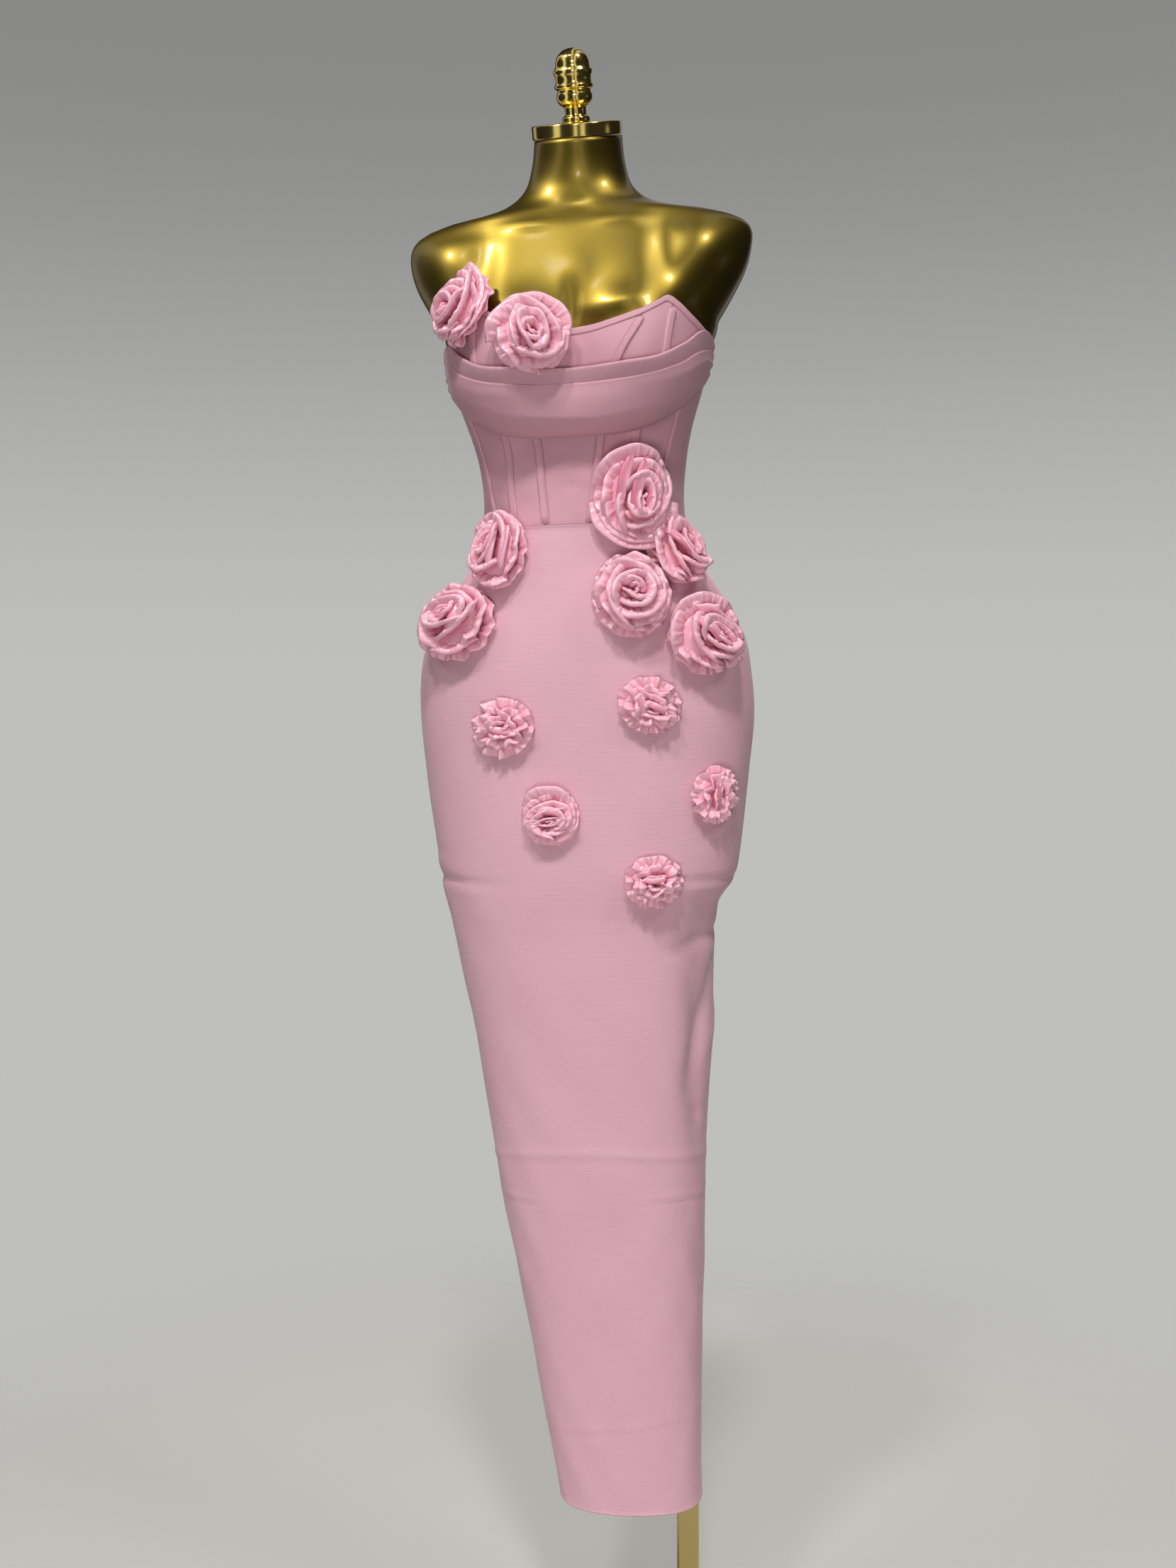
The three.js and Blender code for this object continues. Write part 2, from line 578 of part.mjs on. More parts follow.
// Roses: a ruffled disc that follows the cloth, under a crown of petals
const ROSE_SIDES = 16;
const ROSE_FOLLOW = 0.6; // how much of the cloth's curve the back takes
const ROSE_PROFILE = [
  { out: 0.55, base: 0, share: 0 },
  { out: 0.98, base: 0, share: 0 },
  { out: 1, base: 5, share: 0 },
  { out: 0.86, base: 5, share: 0.35 },
  { out: 0.62, base: 2, share: 0.85 },
  { out: 0.36, base: 0, share: 1 },
  { out: 0.14, base: 0, share: 0.82 },
];
function roseRing(rose, place, ring) {
  const points = [];
  for (let i = 0; i < ROSE_SIDES; i += 1) {
    const turn = (i / ROSE_SIDES) * 2 * Math.PI;
    const ruffle = 1 + 0.04 * Math.sin(5 * turn + rose.z);
    const radius = rose.radius * ring.out * ruffle;
    const spot = beside(place, radius * Math.cos(turn), radius * Math.sin(turn));
    const lift = rose.lift + ring.base + (rose.height - ring.base) * ring.share;
    points.push(spot.plane.lerp(spot.cloth, ROSE_FOLLOW).addScaledVector(spot.n, lift));
  }
  return points;
}
for (const rose of ROSES) {
  const place = { angle: rad(rose.angle), z: rose.z };
  add(rose.name, loft(ROSE_PROFILE.map((ring) => roseRing(rose, place, ring))), satin);
}

// Centre back zip: its chain over the seam, a slider at the top, and a pull on a pin
const backAt = (z, out) => dressPoint(Math.PI, z, out).y;
const sliderTop = byAngle(NECKLINE, "z", Math.PI) - SLIDER.drop;
function chainGrid(out) {
  const grid = [];
  const steps = 16;
  for (let j = 0; j <= steps; j += 1) {
    const z = lerp(ZIP.bottom, sliderTop - SLIDER.height - SEAM_GAP, j / steps);
    const y = backAt(z, 0) + out;
    grid.push([-1, 1].map((side) => new THREE.Vector3((side * ZIP.width) / 2, y, z)));
  }
  return grid;
}
add("zip_chain", wall(chainGrid(ZIP.gap + ZIP.thickness), chainGrid(ZIP.gap)), crepe);

const wasm = await Module();
wasm.setup();

function solid(geometry) {
  const bare = geometry.index ? geometry.toNonIndexed() : geometry.clone();
  bare.deleteAttribute("normal");
  bare.deleteAttribute("uv");
  const merged = BufferGeometryUtils.mergeVertices(bare, 1e-4);
  const vertProperties = merged.attributes.position.array;
  const triVerts = new Uint32Array(merged.index.array);
  return new wasm.Manifold(new wasm.Mesh({ numProp: 3, vertProperties, triVerts }));
}

function asGeometry(manifold) {
  const mesh = manifold.getMesh();
  const geometry = new THREE.BufferGeometry();
  geometry.setAttribute("position", new THREE.BufferAttribute(mesh.vertProperties, 3));
  geometry.setIndex(new THREE.BufferAttribute(mesh.triVerts, 1));
  geometry.computeVertexNormals();
  return geometry;
}

// A flat shape drawn in Y and Z, with its thickness along X about a middle.
function sideways(shape, width, x) {
  const options = { depth: width, bevelEnabled: false, curveSegments: 10 };
  const bar = new THREE.ExtrudeGeometry(shape, options);
  const turn = new THREE.Matrix4().makeBasis(
    new THREE.Vector3(0, 1, 0),
    new THREE.Vector3(0, 0, 1),
    new THREE.Vector3(1, 0, 0),
  );
  return bar.applyMatrix4(turn).translate(x - width / 2, 0, 0);
}

// The pull's pivot is the local origin here, and the cloth lies towards -Y.
function sliderGeometry() {
  const face = -LUG.reach;
  const back = face - SLIDER.thickness;
  const low = -SLIDER.height * 0.45;
  const body = new THREE.Shape();
  body.moveTo(back, low);
  body.lineTo(face - 0.8, low);
  body.lineTo(face, low + 1);
  body.lineTo(face, low + SLIDER.height - 1);
  body.lineTo(face - 0.8, low + SLIDER.height);
  body.lineTo(back, low + SLIDER.height);
  const lug = new THREE.Shape();
  lug.moveTo(face - 0.5, -LUG.radius);
  lug.lineTo(0, -LUG.radius);
  lug.absarc(0, 0, LUG.radius, -Math.PI / 2, Math.PI / 2, false);
  lug.lineTo(face - 0.5, LUG.radius);
  const pin = new THREE.Shape();
  pin.absarc(0, 0, LUG.pin, 0, 2 * Math.PI, false);
  const lugAt = PULL.width / 2 + SEAM_GAP + LUG.width / 2;
  let made = solid(sideways(body, SLIDER.width, 0));
  made = made.add(solid(sideways(lug, LUG.width, lugAt)));
  made = made.add(solid(sideways(lug, LUG.width, -lugAt)));
  made = made.add(solid(sideways(pin, 2 * lugAt, 0)));
  return asGeometry(made);
}

function pullGeometry() {
  const side = PULL.thickness / 2;
  const shoulder = Math.asin(side / PULL.eye);
  const shape = new THREE.Shape();
  shape.moveTo(-side, -PULL.length);
  shape.lineTo(side, -PULL.length);
  shape.absarc(0, 0, PULL.eye, -Math.PI / 2 + shoulder, 1.5 * Math.PI - shoulder, false);
  const hole = new THREE.Path();
  hole.absarc(0, 0, PULL.hole, 0, 2 * Math.PI, true);
  shape.holes.push(hole);
  return sideways(shape, PULL.width, 0);
}

const pivotHeight = sliderTop - SLIDER.height * 0.55;
const sliderBack = Math.max(backAt(sliderTop - SLIDER.height, 0), backAt(sliderTop, 0));
const pivotOut = sliderBack + ZIP.gap + SLIDER.thickness + LUG.reach;
const pulls = new THREE.Group();
pulls.position.set(0, pivotOut, pivotHeight);
group.add(pulls);
add("zip_slider", sliderGeometry(), goldPlate, pulls);
add("zip_pull", pullGeometry(), goldPlate, pulls);

export default group;
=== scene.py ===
import math
import random

import bmesh
import bpy
import numpy as np
from mathutils import Matrix, Vector


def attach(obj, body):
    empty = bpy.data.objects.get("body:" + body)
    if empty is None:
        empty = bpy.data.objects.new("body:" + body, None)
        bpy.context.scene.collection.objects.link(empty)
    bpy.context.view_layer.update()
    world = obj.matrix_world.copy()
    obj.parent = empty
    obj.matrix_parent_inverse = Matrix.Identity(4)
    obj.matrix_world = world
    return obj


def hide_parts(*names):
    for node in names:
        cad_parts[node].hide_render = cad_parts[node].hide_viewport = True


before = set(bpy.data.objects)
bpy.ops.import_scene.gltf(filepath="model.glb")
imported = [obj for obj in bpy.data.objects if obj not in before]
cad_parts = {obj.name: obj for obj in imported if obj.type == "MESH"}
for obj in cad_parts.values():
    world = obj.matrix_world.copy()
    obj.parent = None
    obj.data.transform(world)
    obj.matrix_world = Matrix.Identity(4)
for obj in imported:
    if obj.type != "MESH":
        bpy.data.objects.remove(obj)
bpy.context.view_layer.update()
wholeBody = "dress_on_form"
mm = 0.001  # the tables below are in millimetres
gap = 0.3  # the space between pieces at a seam or a seat
girth = 125  # a typical radius of the dress, which turns its angles into widths of cloth
scene = bpy.context.scene


# Shader nodes: the helpers that the room, the floor and the materials share.
def addNode(tree, kind, sockets=(), **settings):
    # One node; each named or numbered socket takes a value or another node's output.
    node = tree.nodes.new("ShaderNode" + kind)
    for name, value in settings.items():
        setattr(node, name, value)
    for socket, value in dict(sockets).items():
        if isinstance(value, bpy.types.NodeSocket):
            tree.links.new(value, node.inputs[socket])
        else:
            node.inputs[socket].default_value = value
    return node


def mathNode(tree, operation, *values):
    return addNode(tree, "Math", enumerate(values), operation=operation).outputs[0]


def rangeNode(tree, value, low, high, first=0.0, last=1.0):
    # A soft step from the first value to the last.
    ends = {"Value": value, "From Min": low, "From Max": high, "To Min": first, "To Max": last}
    return addNode(tree, "MapRange", ends, interpolation_type="SMOOTHSTEP").outputs[0]


def noiseNode(tree, vector, scale, detail=3.0, roughness=0.5):
    sockets = {"Vector": vector, "Scale": scale, "Detail": detail, "Roughness": roughness}
    return addNode(tree, "TexNoise", sockets).outputs["Fac"]


def newMaterial(name, settings):
    material = bpy.data.materials.new(name)
    material.use_nodes = True
    shader = material.node_tree.nodes["Principled BSDF"]
    for socket, value in settings.items():
        shader.inputs[socket].default_value = value
    return material, shader


# The camera stands where the photograph was taken; its focal length is in the photo's pixels.
view = {"distance": 1.667, "height": 1.08, "round": 5.0, "down": 4.17, "roll": 0.41,
        "sensor": 36, "focal": 2280, "longSide": 2212}


def addCamera():
    data = bpy.data.cameras.new("camera")
    data.lens = view["sensor"] * view["focal"] / view["longSide"]
    data.sensor_width = view["sensor"]
    camera = bpy.data.objects.new("camera", data)
    scene.collection.objects.link(camera)
    turn = math.radians(view["round"])
    place = Vector((math.sin(turn), -math.cos(turn), 0)) * view["distance"]
    place.z = view["height"]
    facing = Matrix.Rotation(turn, 4, "Z")
    facing = facing @ Matrix.Rotation(math.radians(90 - view["down"]), 4, "X")
    facing = facing @ Matrix.Rotation(math.radians(-view["roll"]), 4, "Z")
    camera.matrix_world = Matrix.Translation(place) @ facing
    scene.camera = camera


lamps = [  # degrees round from the front, degrees up, distance, panel's width, power, lights
    (-20, 55, 5.0, 0.4, 64, "cloth"),
    (-20, 55, 5.0, 0.4, 30, "gold"),
    (5, 55, 5.0, 0.4, 93, "cloth"),
    (60, 42, 5.0, 1.0, 33, "cloth"),
    (-60, 42, 5.0, 1.0, 27, "cloth"),
    (0, -10, 2.3, 0.7, 16.5, "cloth"),
    (-160, 62, 5.0, 0.8, 125, "cloth"),
    (150, 58, 5.0, 0.8, 75, "cloth"),
    (-52, 50, 5.0, 0.7, 92, "gold"),
    (50, 52, 5.0, 0.7, 56, "gold"),
    (3, 16, 5.0, 0.6, 18, "gold"),
]
lampColour = (1.0, 0.985, 0.965)
lampAim = 0.95  # the height that the lamps look at


def addLamps():
    middle = Vector((0, 0, lampAim))
    for number, (turn, rise, distance, width, power, lights) in enumerate(lamps):
        data = bpy.data.lights.new(f"lamp{number}", "AREA")
        data.shape = "SQUARE"
        data.size = width
        data.energy = power
        data.color = lampColour
        lamp = bpy.data.objects.new(f"lamp{number}", data)
        scene.collection.objects.link(lamp)
        across, up = math.radians(turn), math.radians(rise)
        way = Vector((math.sin(across) * math.cos(up), -math.cos(across) * math.cos(up),
                      math.sin(up)))
        facing = way.to_track_quat("Z", "Y").to_matrix().to_4x4()
        lamp.matrix_world = Matrix.Translation(middle + way * distance) @ facing
        lamp.visible_camera = False
        lamp.visible_glossy = lights != "cloth"
        lamp.visible_diffuse = lights != "gold"


room = {  # a direction, from and to where along it, and the brightness there
    "ahead": ("Y", -0.85, 0.0, 0.15, 0.02), "above": ("Z", -0.3, 0.9, 0.6, 1.3),
    "behind": ("Y", -0.3, 0.5, 1.0, 0.55), "wall": ("Z", -0.02, 0.36, 0.52, 0.25),
    "panels": (0.2, 0.4, 0.03, 0.75), "waves": ((12.0, 0.9), (5.3, 2.3)),
    "colour": (1.0, 1.0, 0.99, 1),
}


def addRoom():
    # A plain room: the eye sees a pale wall with painted shade, darker towards the top, and the
    # light comes from above and in front.
    world = bpy.data.worlds.new("room")
    scene.world = world
    world.use_nodes = True
    tree = world.node_tree
    tree.nodes.clear()
    way = addNode(tree, "TexCoord").outputs["Generated"]
    split = addNode(tree, "SeparateXYZ", {0: way}).outputs

    def graded(name):
        return rangeNode(tree, split[room[name][0]], *room[name][1:])

    def background(strength):
        sockets = {"Color": room["colour"], "Strength": strength}
        return addNode(tree, "Background", sockets).outputs[0]

    def mixed(*parts):
        return addNode(tree, "MixShader", enumerate(parts)).outputs[0]

    light = mathNode(tree, "MULTIPLY", graded("ahead"), graded("above"))
    # what metal mirrors: uneven upright panels of light, dimmer behind
    waves = [mathNode(tree, "SINE", mathNode(tree, "MULTIPLY_ADD", split["X"], often, shift))
             for often, shift in room["waves"]]
    panels = rangeNode(tree, mathNode(tree, "MULTIPLY", *waves), *room["panels"])
    panels = mathNode(tree, "MULTIPLY", panels, graded("behind"))
    sight = addNode(tree, "LightPath").outputs
    seen = mixed(sight["Is Glossy Ray"], background(light), background(panels))
    # camera rays see the wall, with painted shade darker towards the top
    seen = mixed(sight["Is Camera Ray"], seen, background(graded("wall")))
    addNode(tree, "OutputWorld", {"Surface": seen})


stageFloor = {"radius": 1.6, "clearFrom": 0.55, "clearTo": 1.5, "colour": (0.5, 0.5, 0.47, 1)}


def addFloor():
    # A pale disc that fades into the room towards its edge.
    bm = bmesh.new()
    bmesh.ops.create_circle(bm, cap_ends=True, segments=96, radius=stageFloor["radius"])
    mesh = bpy.data.meshes.new("floor")
    bm.to_mesh(mesh)
    bm.free()
    floor = bpy.data.objects.new("floor", mesh)
    scene.collection.objects.link(floor)
    pale, shader = newMaterial("paleFloor", {"Base Color": stageFloor["colour"],
                                             "Roughness": 0.45})
    tree = pale.node_tree
    place = addNode(tree, "TexCoord").outputs["Object"]
    far = addNode(tree, "VectorMath", {0: place}, operation="LENGTH").outputs["Value"]
    fade = rangeNode(tree, far, stageFloor["clearFrom"], stageFloor["clearTo"])
    clear = addNode(tree, "BsdfTransparent").outputs[0]
    mix = addNode(tree, "MixShader", enumerate((fade, shader.outputs[0], clear)))
    tree.links.new(mix.outputs[0], tree.nodes["Material Output"].inputs["Surface"])
    mesh.materials.append(pale)


addCamera()
addLamps()
addRoom()
addFloor()
scene.view_settings.view_transform = "Standard"
print("stage: camera, lamps, room and floor")

# The figure's shape. Outside of the dress: height, reach to the wearer's right and left, to the
# front and back, and squareness (2 is an ellipse).
dressSections = [
    (160, 27, 117, 51, 55, 2.4), (225, 38, 116, 55, 57, 2.4), (300, 51, 116, 60, 60, 2.5),
    (380, 64, 117, 66, 63, 2.6), (460, 78, 119, 72, 66, 2.7), (540, 93, 120, 78, 69, 2.7),
    (620, 105, 123, 84, 72, 2.6), (700, 118, 129, 90, 77, 2.5), (770, 132, 130, 94, 82, 2.4),
    (812, 141, 132, 96, 84, 2.3), (838, 147, 135, 98, 86, 2.3), (850, 150, 142, 99, 88, 2.3),
    (862, 152, 151, 100, 90, 2.3), (880, 154, 155, 101, 92, 2.3), (920, 160, 160, 101, 97, 2.25),
    (975, 167, 166, 101, 107, 2.2), (1030, 172, 171, 101, 116, 2.2),
    (1075, 171, 168, 100, 116, 2.2), (1110, 163, 161, 97, 110, 2.2),
    (1150, 139, 139, 92, 99, 2.2), (1190, 116, 114, 87, 89, 2.15), (1218, 107, 103, 84, 84, 2.1),
    (1245, 104, 100, 82, 81, 2.1), (1280, 107, 102, 84, 81, 2.1), (1315, 116, 108, 89, 84, 2.15),
    (1350, 128, 118, 93, 88, 2.2), (1385, 136, 127, 95, 90, 2.25), (1420, 143, 136, 95, 92, 2.3),
    (1455, 150, 144, 92, 91, 2.3),
]
shoulderSections = [  # the bare form above the dress
    (1420, 142, 135, 92, 88, 2.3), (1445, 158, 150, 87, 87, 2.35), (1468, 170, 162, 80, 84, 2.35),
    (1490, 176, 168, 72, 79, 2.3), (1508, 175, 168, 65, 74, 2.2), (1518, 166, 158, 60, 69, 2.1),
    (1525, 147, 137, 57, 66, 2), (1531, 112, 101, 54, 62, 2), (1540, 82, 72, 51, 57, 2),
    (1556, 61, 51, 49, 50, 2), (1580, 52, 42, 51, 41, 2), (1606, 49, 39, 56, 31, 2),
]
skirtFolds = [  # angle, height, half width in degrees, half height, depth
    (62, 700, 14, 85, -9), (60, 812, 16, 26, -5), (118, 720, 16, 90, -6),
    (-52, 848, 18, 10, -0.6), (-118, 800, 15, 70, -4), (180, 790, 24, 80, -5),
]
figure = {
    "cloth": 1.6, "ease": 2.2, "waistSeam": 1218, "formBottom": 864, "hem": 204,
    "neckTop": 1606, "hip": 1030, "chest": 1340, "lean": 0.038,
}
bust = {"height": 1372, "above": 62, "below": 44, "apart": 72}
formSwell = (33, 37)  # how far each bust stands out, and its spread, on the form
dressSwell = (36, 58)  # the same on the dress
formRelief = [  # across, height, half width, half height, lift, above the neckline only
    (130, 1482, 27, 30, 7.5), (88, 1478, 15, 34, -4.0), (46, 1512, 26, 8, 3.5),
    (44, 1424, 25, 17, 5.0), (0, 1408, 4.5, 34, -6.5), (0, 1462, 15, 22, 2.0),
]
formJoin = {"top": 1455, "from": 1385, "to": 1425, "foot": 1420}  # body to shoulders, heights
collar = {  # the collarbones: degrees off the middle, spread, rise, ridge, hollow and notch
    "at": 38, "spread": 26, "rise": 2.2, "ridge": (1527, 5), "hollow": (1509, 9),
    "notch": (9, 1529, 9, 3),
}
neck = {"tilt": 17.5, "x": -5, "y": -12, "from": 1545}
bodiceSeams = [  # height, middle line, then three seams out from it, in degrees
    (1218, -5, 11, 31, 46), (1260, -4.5, 14, 34.5, 55), (1300, -3, 15.5, 34.5, 60.5),
    (1335, -2, 17, 38, 62.5), (1370, -1, 20, 43, 63.5), (1400, -0.7, 26, 42, 64),
    (1430, -0.5, 30, 41, 65),
]
neckline = [  # angle either way, height
    (0, 1399), (9, 1402), (25, 1413), (33, 1423), (37, 1428), (43, 1423), (53, 1412),
    (65, 1403), (78, 1397), (90, 1387), (104, 1378), (130, 1373), (180, 1371),
]


def column(rows, number, at):
    # One column of a table, as a smooth curve over its first column.
    rows = np.asarray(rows, float)
    at = np.asarray(at, float)
    places, values = rows[:, 0], rows[:, number]
    last = len(places) - 1
    i = np.clip(np.searchsorted(places, at) - 1, 0, last - 1)
    low, high = np.maximum(i - 1, 0), np.minimum(i + 2, last)
    gap = places[i + 1] - places[i]
    t = np.clip((at - places[i]) / gap, 0, 1)
    start = (values[i + 1] - values[low]) / (places[i + 1] - places[low]) * gap
    end = (values[high] - values[i]) / (places[high] - places[i]) * gap
    mix = t * t * (3 - 2 * t)
    bend = (1 - t) ** 2 * t * start - (1 - t) * t * t * end
    return values[i] * (1 - mix) + values[i + 1] * mix + bend


def smooth(value, low, high):
    t = np.clip((np.asarray(value, float) - low) / (high - low), 0, 1)
    return t * t * (3 - 2 * t)


def signedPower(value, power):
    return np.sign(value) * np.abs(value) ** power


def bell(value, middle, spread):
    return np.exp(-(((value - middle) / spread) ** 2))


def onSection(rows, z, angle, out):
    right, left, front, back, square = (column(rows, k, z) for k in range(1, 6))
    sine, cosine = np.sin(angle), np.cos(angle)
    deep = np.where(cosine > 0, front, back) + out
    x = (left - right) / 2 + ((left + right) / 2 + out) * signedPower(sine, 2 / square)
    return x, -deep * signedPower(cosine, 2 / square)


def bustSwell(swell, x, angle, z):
    reach = np.where(z > bust["height"], bust["above"], bust["below"])
    front = smooth(np.cos(angle), 0.05, 0.55)
    right, left = (bell(x, side * bust["apart"] - 4, swell[1]) for side in (-1, 1))
    return swell[0] * bell(z, bust["height"], reach) * front * np.minimum(1, right + left)


def settled(x, y, z):
    lean = x * figure["lean"] * smooth(z, figure["hip"], figure["chest"])
    return np.stack([x, y, z + lean], axis=-1)


def dressPoint(angle, z, out=0.0):
    # A point of the dress's outside at an angle and height, moved out.
    angle, z = np.broadcast_arrays(np.asarray(angle, float), np.asarray(z, float))
    degrees = np.degrees(angle)
    fold = 0
    for middle, height, turn, reach, depth in skirtFolds:
        away = np.abs(degrees - middle)
        away = np.minimum(away, 360 - away) / turn
        fold = fold + depth * bell(away, 0, 1) * bell(z, height, reach)
    below = smooth(figure["formBottom"] - z, -4, 24)
    x, y = onSection(dressSections, z, angle, out + fold * below)
    return settled(x, y - bustSwell(dressSwell, x, angle, z), z)


def formPoint(angle, z):
    inside = -figure["cloth"] - figure["ease"]
    lowX, lowY = onSection(dressSections, np.minimum(z, formJoin["top"]), angle, inside)
    share = smooth(z, formJoin["from"], formJoin["to"])
    turned = np.degrees(angle)
    bone = bell(np.abs(turned), collar["at"], collar["spread"]) * collar["rise"]
    across, height, high, deep = collar["notch"]
    bone = bone * (bell(z, *collar["ridge"]) - bell(z, *collar["hollow"]))
    bone = bone - deep * bell(turned, 0, across) * bell(z, height, high)
    highX, highY = onSection(shoulderSections, np.maximum(z, formJoin["foot"]), angle, bone)
    x = lowX * (1 - share) + highX * share
    y = lowY * (1 - share) + highY * share
    bare = smooth(z - necklineAt(angle), 0, 20) * smooth(np.cos(angle), 0.1, 0.5)
    for across, height, wide, high, lift in formRelief:
        y = y - lift * bell(np.abs(x + 4), across, wide) * bell(z, height, high) * bare
    y = y - bustSwell(formSwell, x, angle, z)
    tilt = math.tan(math.radians(neck["tilt"])) * smooth(z, neck["from"], figure["neckTop"])
    return settled(x, y, z + (y - neck["y"]) * tilt)


def necklineAt(angle):
    return column(neckline, 1, np.abs(np.degrees(angle)))


def seamAngle(side, seam, z):
    return np.radians(column(bodiceSeams, 1, z) + side * column(bodiceSeams, seam, z))


def creaseHeight(creases, angle, z):
    # Soft ridges and troughs along drawn lines on the cloth laid flat.
    across, height = np.asarray(angle) * girth, 0
    for width, under, points in creases:
        nearest = np.full(np.shape(z), 1e9)
        lift, side = np.zeros(np.shape(z)), np.zeros(np.shape(z))
        for a, b in zip(points, points[1:]):
            ax, bx = math.radians(a[0]) * girth, math.radians(b[0]) * girth
            dx, dz = bx - ax, b[1] - a[1]
            t = np.clip(((across - ax) * dx + (z - a[1]) * dz) / (dx * dx + dz * dz), 0, 1)
            offX, offZ = across - ax - t * dx, z - a[1] - t * dz
            off = np.hypot(offX, offZ)
            closer = off < nearest
            nearest = np.where(closer, off, nearest)
            side = np.where(closer, np.sign(dx * offZ - dz * offX), side)
            lift = np.where(closer, a[2] * (1 - t) + b[2] * t, lift)
        reach = nearest * side / width
        height = height + lift * (bell(reach, 0, 1) - under * bell(reach, -1.5, 1))
    return height


def ripple(seed, angle, z, size, count=7):
    # A gentle unevenness, from a few seeded waves.
    chance = random.Random(seed)
    height = 0
    for _ in range(count):
        way, length = chance.uniform(0, math.pi), size * chance.uniform(0.7, 1.9)
        wave = (angle * girth * math.cos(way) + z * math.sin(way)) * 2 * math.pi / length
        height = height + np.sin(wave + chance.uniform(0, 6.3)) / count**0.5
    return height


# Making and finishing meshes.
def stops(low, high, step, fine=("low", "high")):
    # Even places from low to high, with finer ones near the given ends.
    places = list(np.linspace(low, high, max(2, int(round(abs(high - low) / step)) + 1)))
    for end in fine:
        first, way = (low, 1) if end == "low" else (high, -1)
        near = [first + way * step * part for part in (0.15, 0.3, 0.5, 0.75)]
        places += [p for p in near if min(low, high) < p < max(low, high)]
    return np.array(sorted(set(np.round(places, 6))))


def gridPiece(across, up, place, flat=None):
    # A grid whose corners are moved to place(across, up), with its flat cut as the UV map.
    bm = bmesh.new()
    cloth = bm.loops.layers.uv.new("cloth")
    nx, ny = len(across) - 1, len(up) - 1
    bmesh.ops.create_grid(bm, x_segments=nx, y_segments=ny, size=1)
    corners = np.array([v.co[:2] for v in bm.verts])
    i = np.rint((corners[:, 0] + 1) / 2 * nx).astype(int)
    j = np.rint((corners[:, 1] + 1) / 2 * ny).astype(int)
    u, v = np.asarray(across)[i], np.asarray(up)[j]
    points = place(u, v) * mm
    spread = np.stack(flat(u, v) if flat else (u, v), axis=-1) * mm
    for vert, point in zip(bm.verts, points):
        vert.co = point
    for face in bm.faces:
        for loop in face.loops:
            loop[cloth].uv = spread[loop.vert.index]
    return bm


def closed(bm):
    # Merges the seam, and turns every face outward.
    bmesh.ops.remove_doubles(bm, verts=bm.verts, dist=0.001 * mm)
    bmesh.ops.recalc_face_normals(bm, faces=bm.faces)


def asObject(name, bm, material, node=None):
    # A finished mesh as a piece of the model, in the place of the CAD node.
    mesh = bpy.data.meshes.new(name)
    for face in bm.faces:
        face.smooth = True
    bm.to_mesh(mesh)
    bm.free()
    mesh.materials.append(material)
    piece = bpy.data.objects.new(name, mesh)
    scene.collection.objects.link(piece)
    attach(piece, wholeBody)
    if node:
        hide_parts(node)
    return piece


def areaOf(bm):
    return sum(face.calc_area() for face in bm.faces)


def clothPiece(name, bm, material, node, thickness):
    # A panel's outer face, given its thickness inward; returns the piece and the face's area.
    area = areaOf(bm)
    piece = asObject(name, bm, material, node)
    wall = piece.modifiers.new("cloth thickness", "SOLIDIFY")
    wall.thickness = thickness * mm
    wall.offset = -1
    wall.use_even_offset = False
    return piece, area


# Materials. Each effect that more than one material uses is a group.
def nodeGroup(name, takes, *gives):
    # takes: each input's default number, or its kind; gives: the outputs' names.
    group = bpy.data.node_groups.new(name, "ShaderNodeTree")
    for label, value in takes.items():
        kind = value if isinstance(value, str) else "Float"
        socket = group.interface.new_socket(label, in_out="INPUT",
                                            socket_type="NodeSocket" + kind)
        if kind == "Float":
            socket.default_value = value
    for label in gives:
        kind = "NodeSocketColor" if label == "Color" else "NodeSocketFloat"
        group.interface.new_socket(label, in_out="OUTPUT", socket_type=kind)
    inside = group.nodes.new("NodeGroupInput")
    outside = group.nodes.new("NodeGroupOutput")
    return group, inside.outputs, outside.inputs


def makeClothTone():
    # Two tones of one dye, mixed by slow and quick unevenness.
    takes = {"Vector": "Vector", "Light": "Color", "Deep": "Color", "Size": 9.0, "Spread": 0.5}
    group, given, out = nodeGroup("clothTone", takes, "Color")
    slow = noiseNode(group, given["Vector"], given["Size"])
    quick = noiseNode(group, given["Vector"], mathNode(group, "MULTIPLY", given["Size"], 45.0), 2.0)
    both = mathNode(group, "MULTIPLY_ADD", quick, 0.35, mathNode(group, "MULTIPLY", slow, 0.65))
    mask = mathNode(group, "MULTIPLY_ADD", mathNode(group, "SUBTRACT", both, 0.5), 2.2, 0.5)
    mask = mathNode(group, "MULTIPLY", mask, given["Spread"])
    colours = {"Factor": mask, "A": given["Light"], "B": given["Deep"]}
    mix = addNode(group, "Mix", colours, data_type="RGBA")
    group.links.new(mix.outputs["Result"], out["Color"])
    return group


def makeRibs():
    # Fine ribs round the body, with a little slub along them.
    takes = {"Vector": "Vector", "Ribs": 700.0, "Slub": 0.4}
    group, given, out = nodeGroup("knitRibs", takes, "Height")
    split = addNode(group, "SeparateXYZ", {0: given["Vector"]})
    wobble = noiseNode(group, given["Vector"], 60.0, 2.0)
    line = mathNode(group, "MULTIPLY", split.outputs["Y"], given["Ribs"])
    line = mathNode(group, "MULTIPLY_ADD", wobble, given["Slub"], line)
    wave = mathNode(group, "SINE", mathNode(group, "MULTIPLY", line, 2 * math.pi))
    drawn = addNode(group, "Mapping", {"Vector": given["Vector"], "Scale": (160.0, 1300.0, 1.0)})
    slub = noiseNode(group, drawn.outputs[0], 1.0, 2.0)
    group.links.new(mathNode(group, "MULTIPLY_ADD", wave, 0.35, slub), out["Height"])
    return group


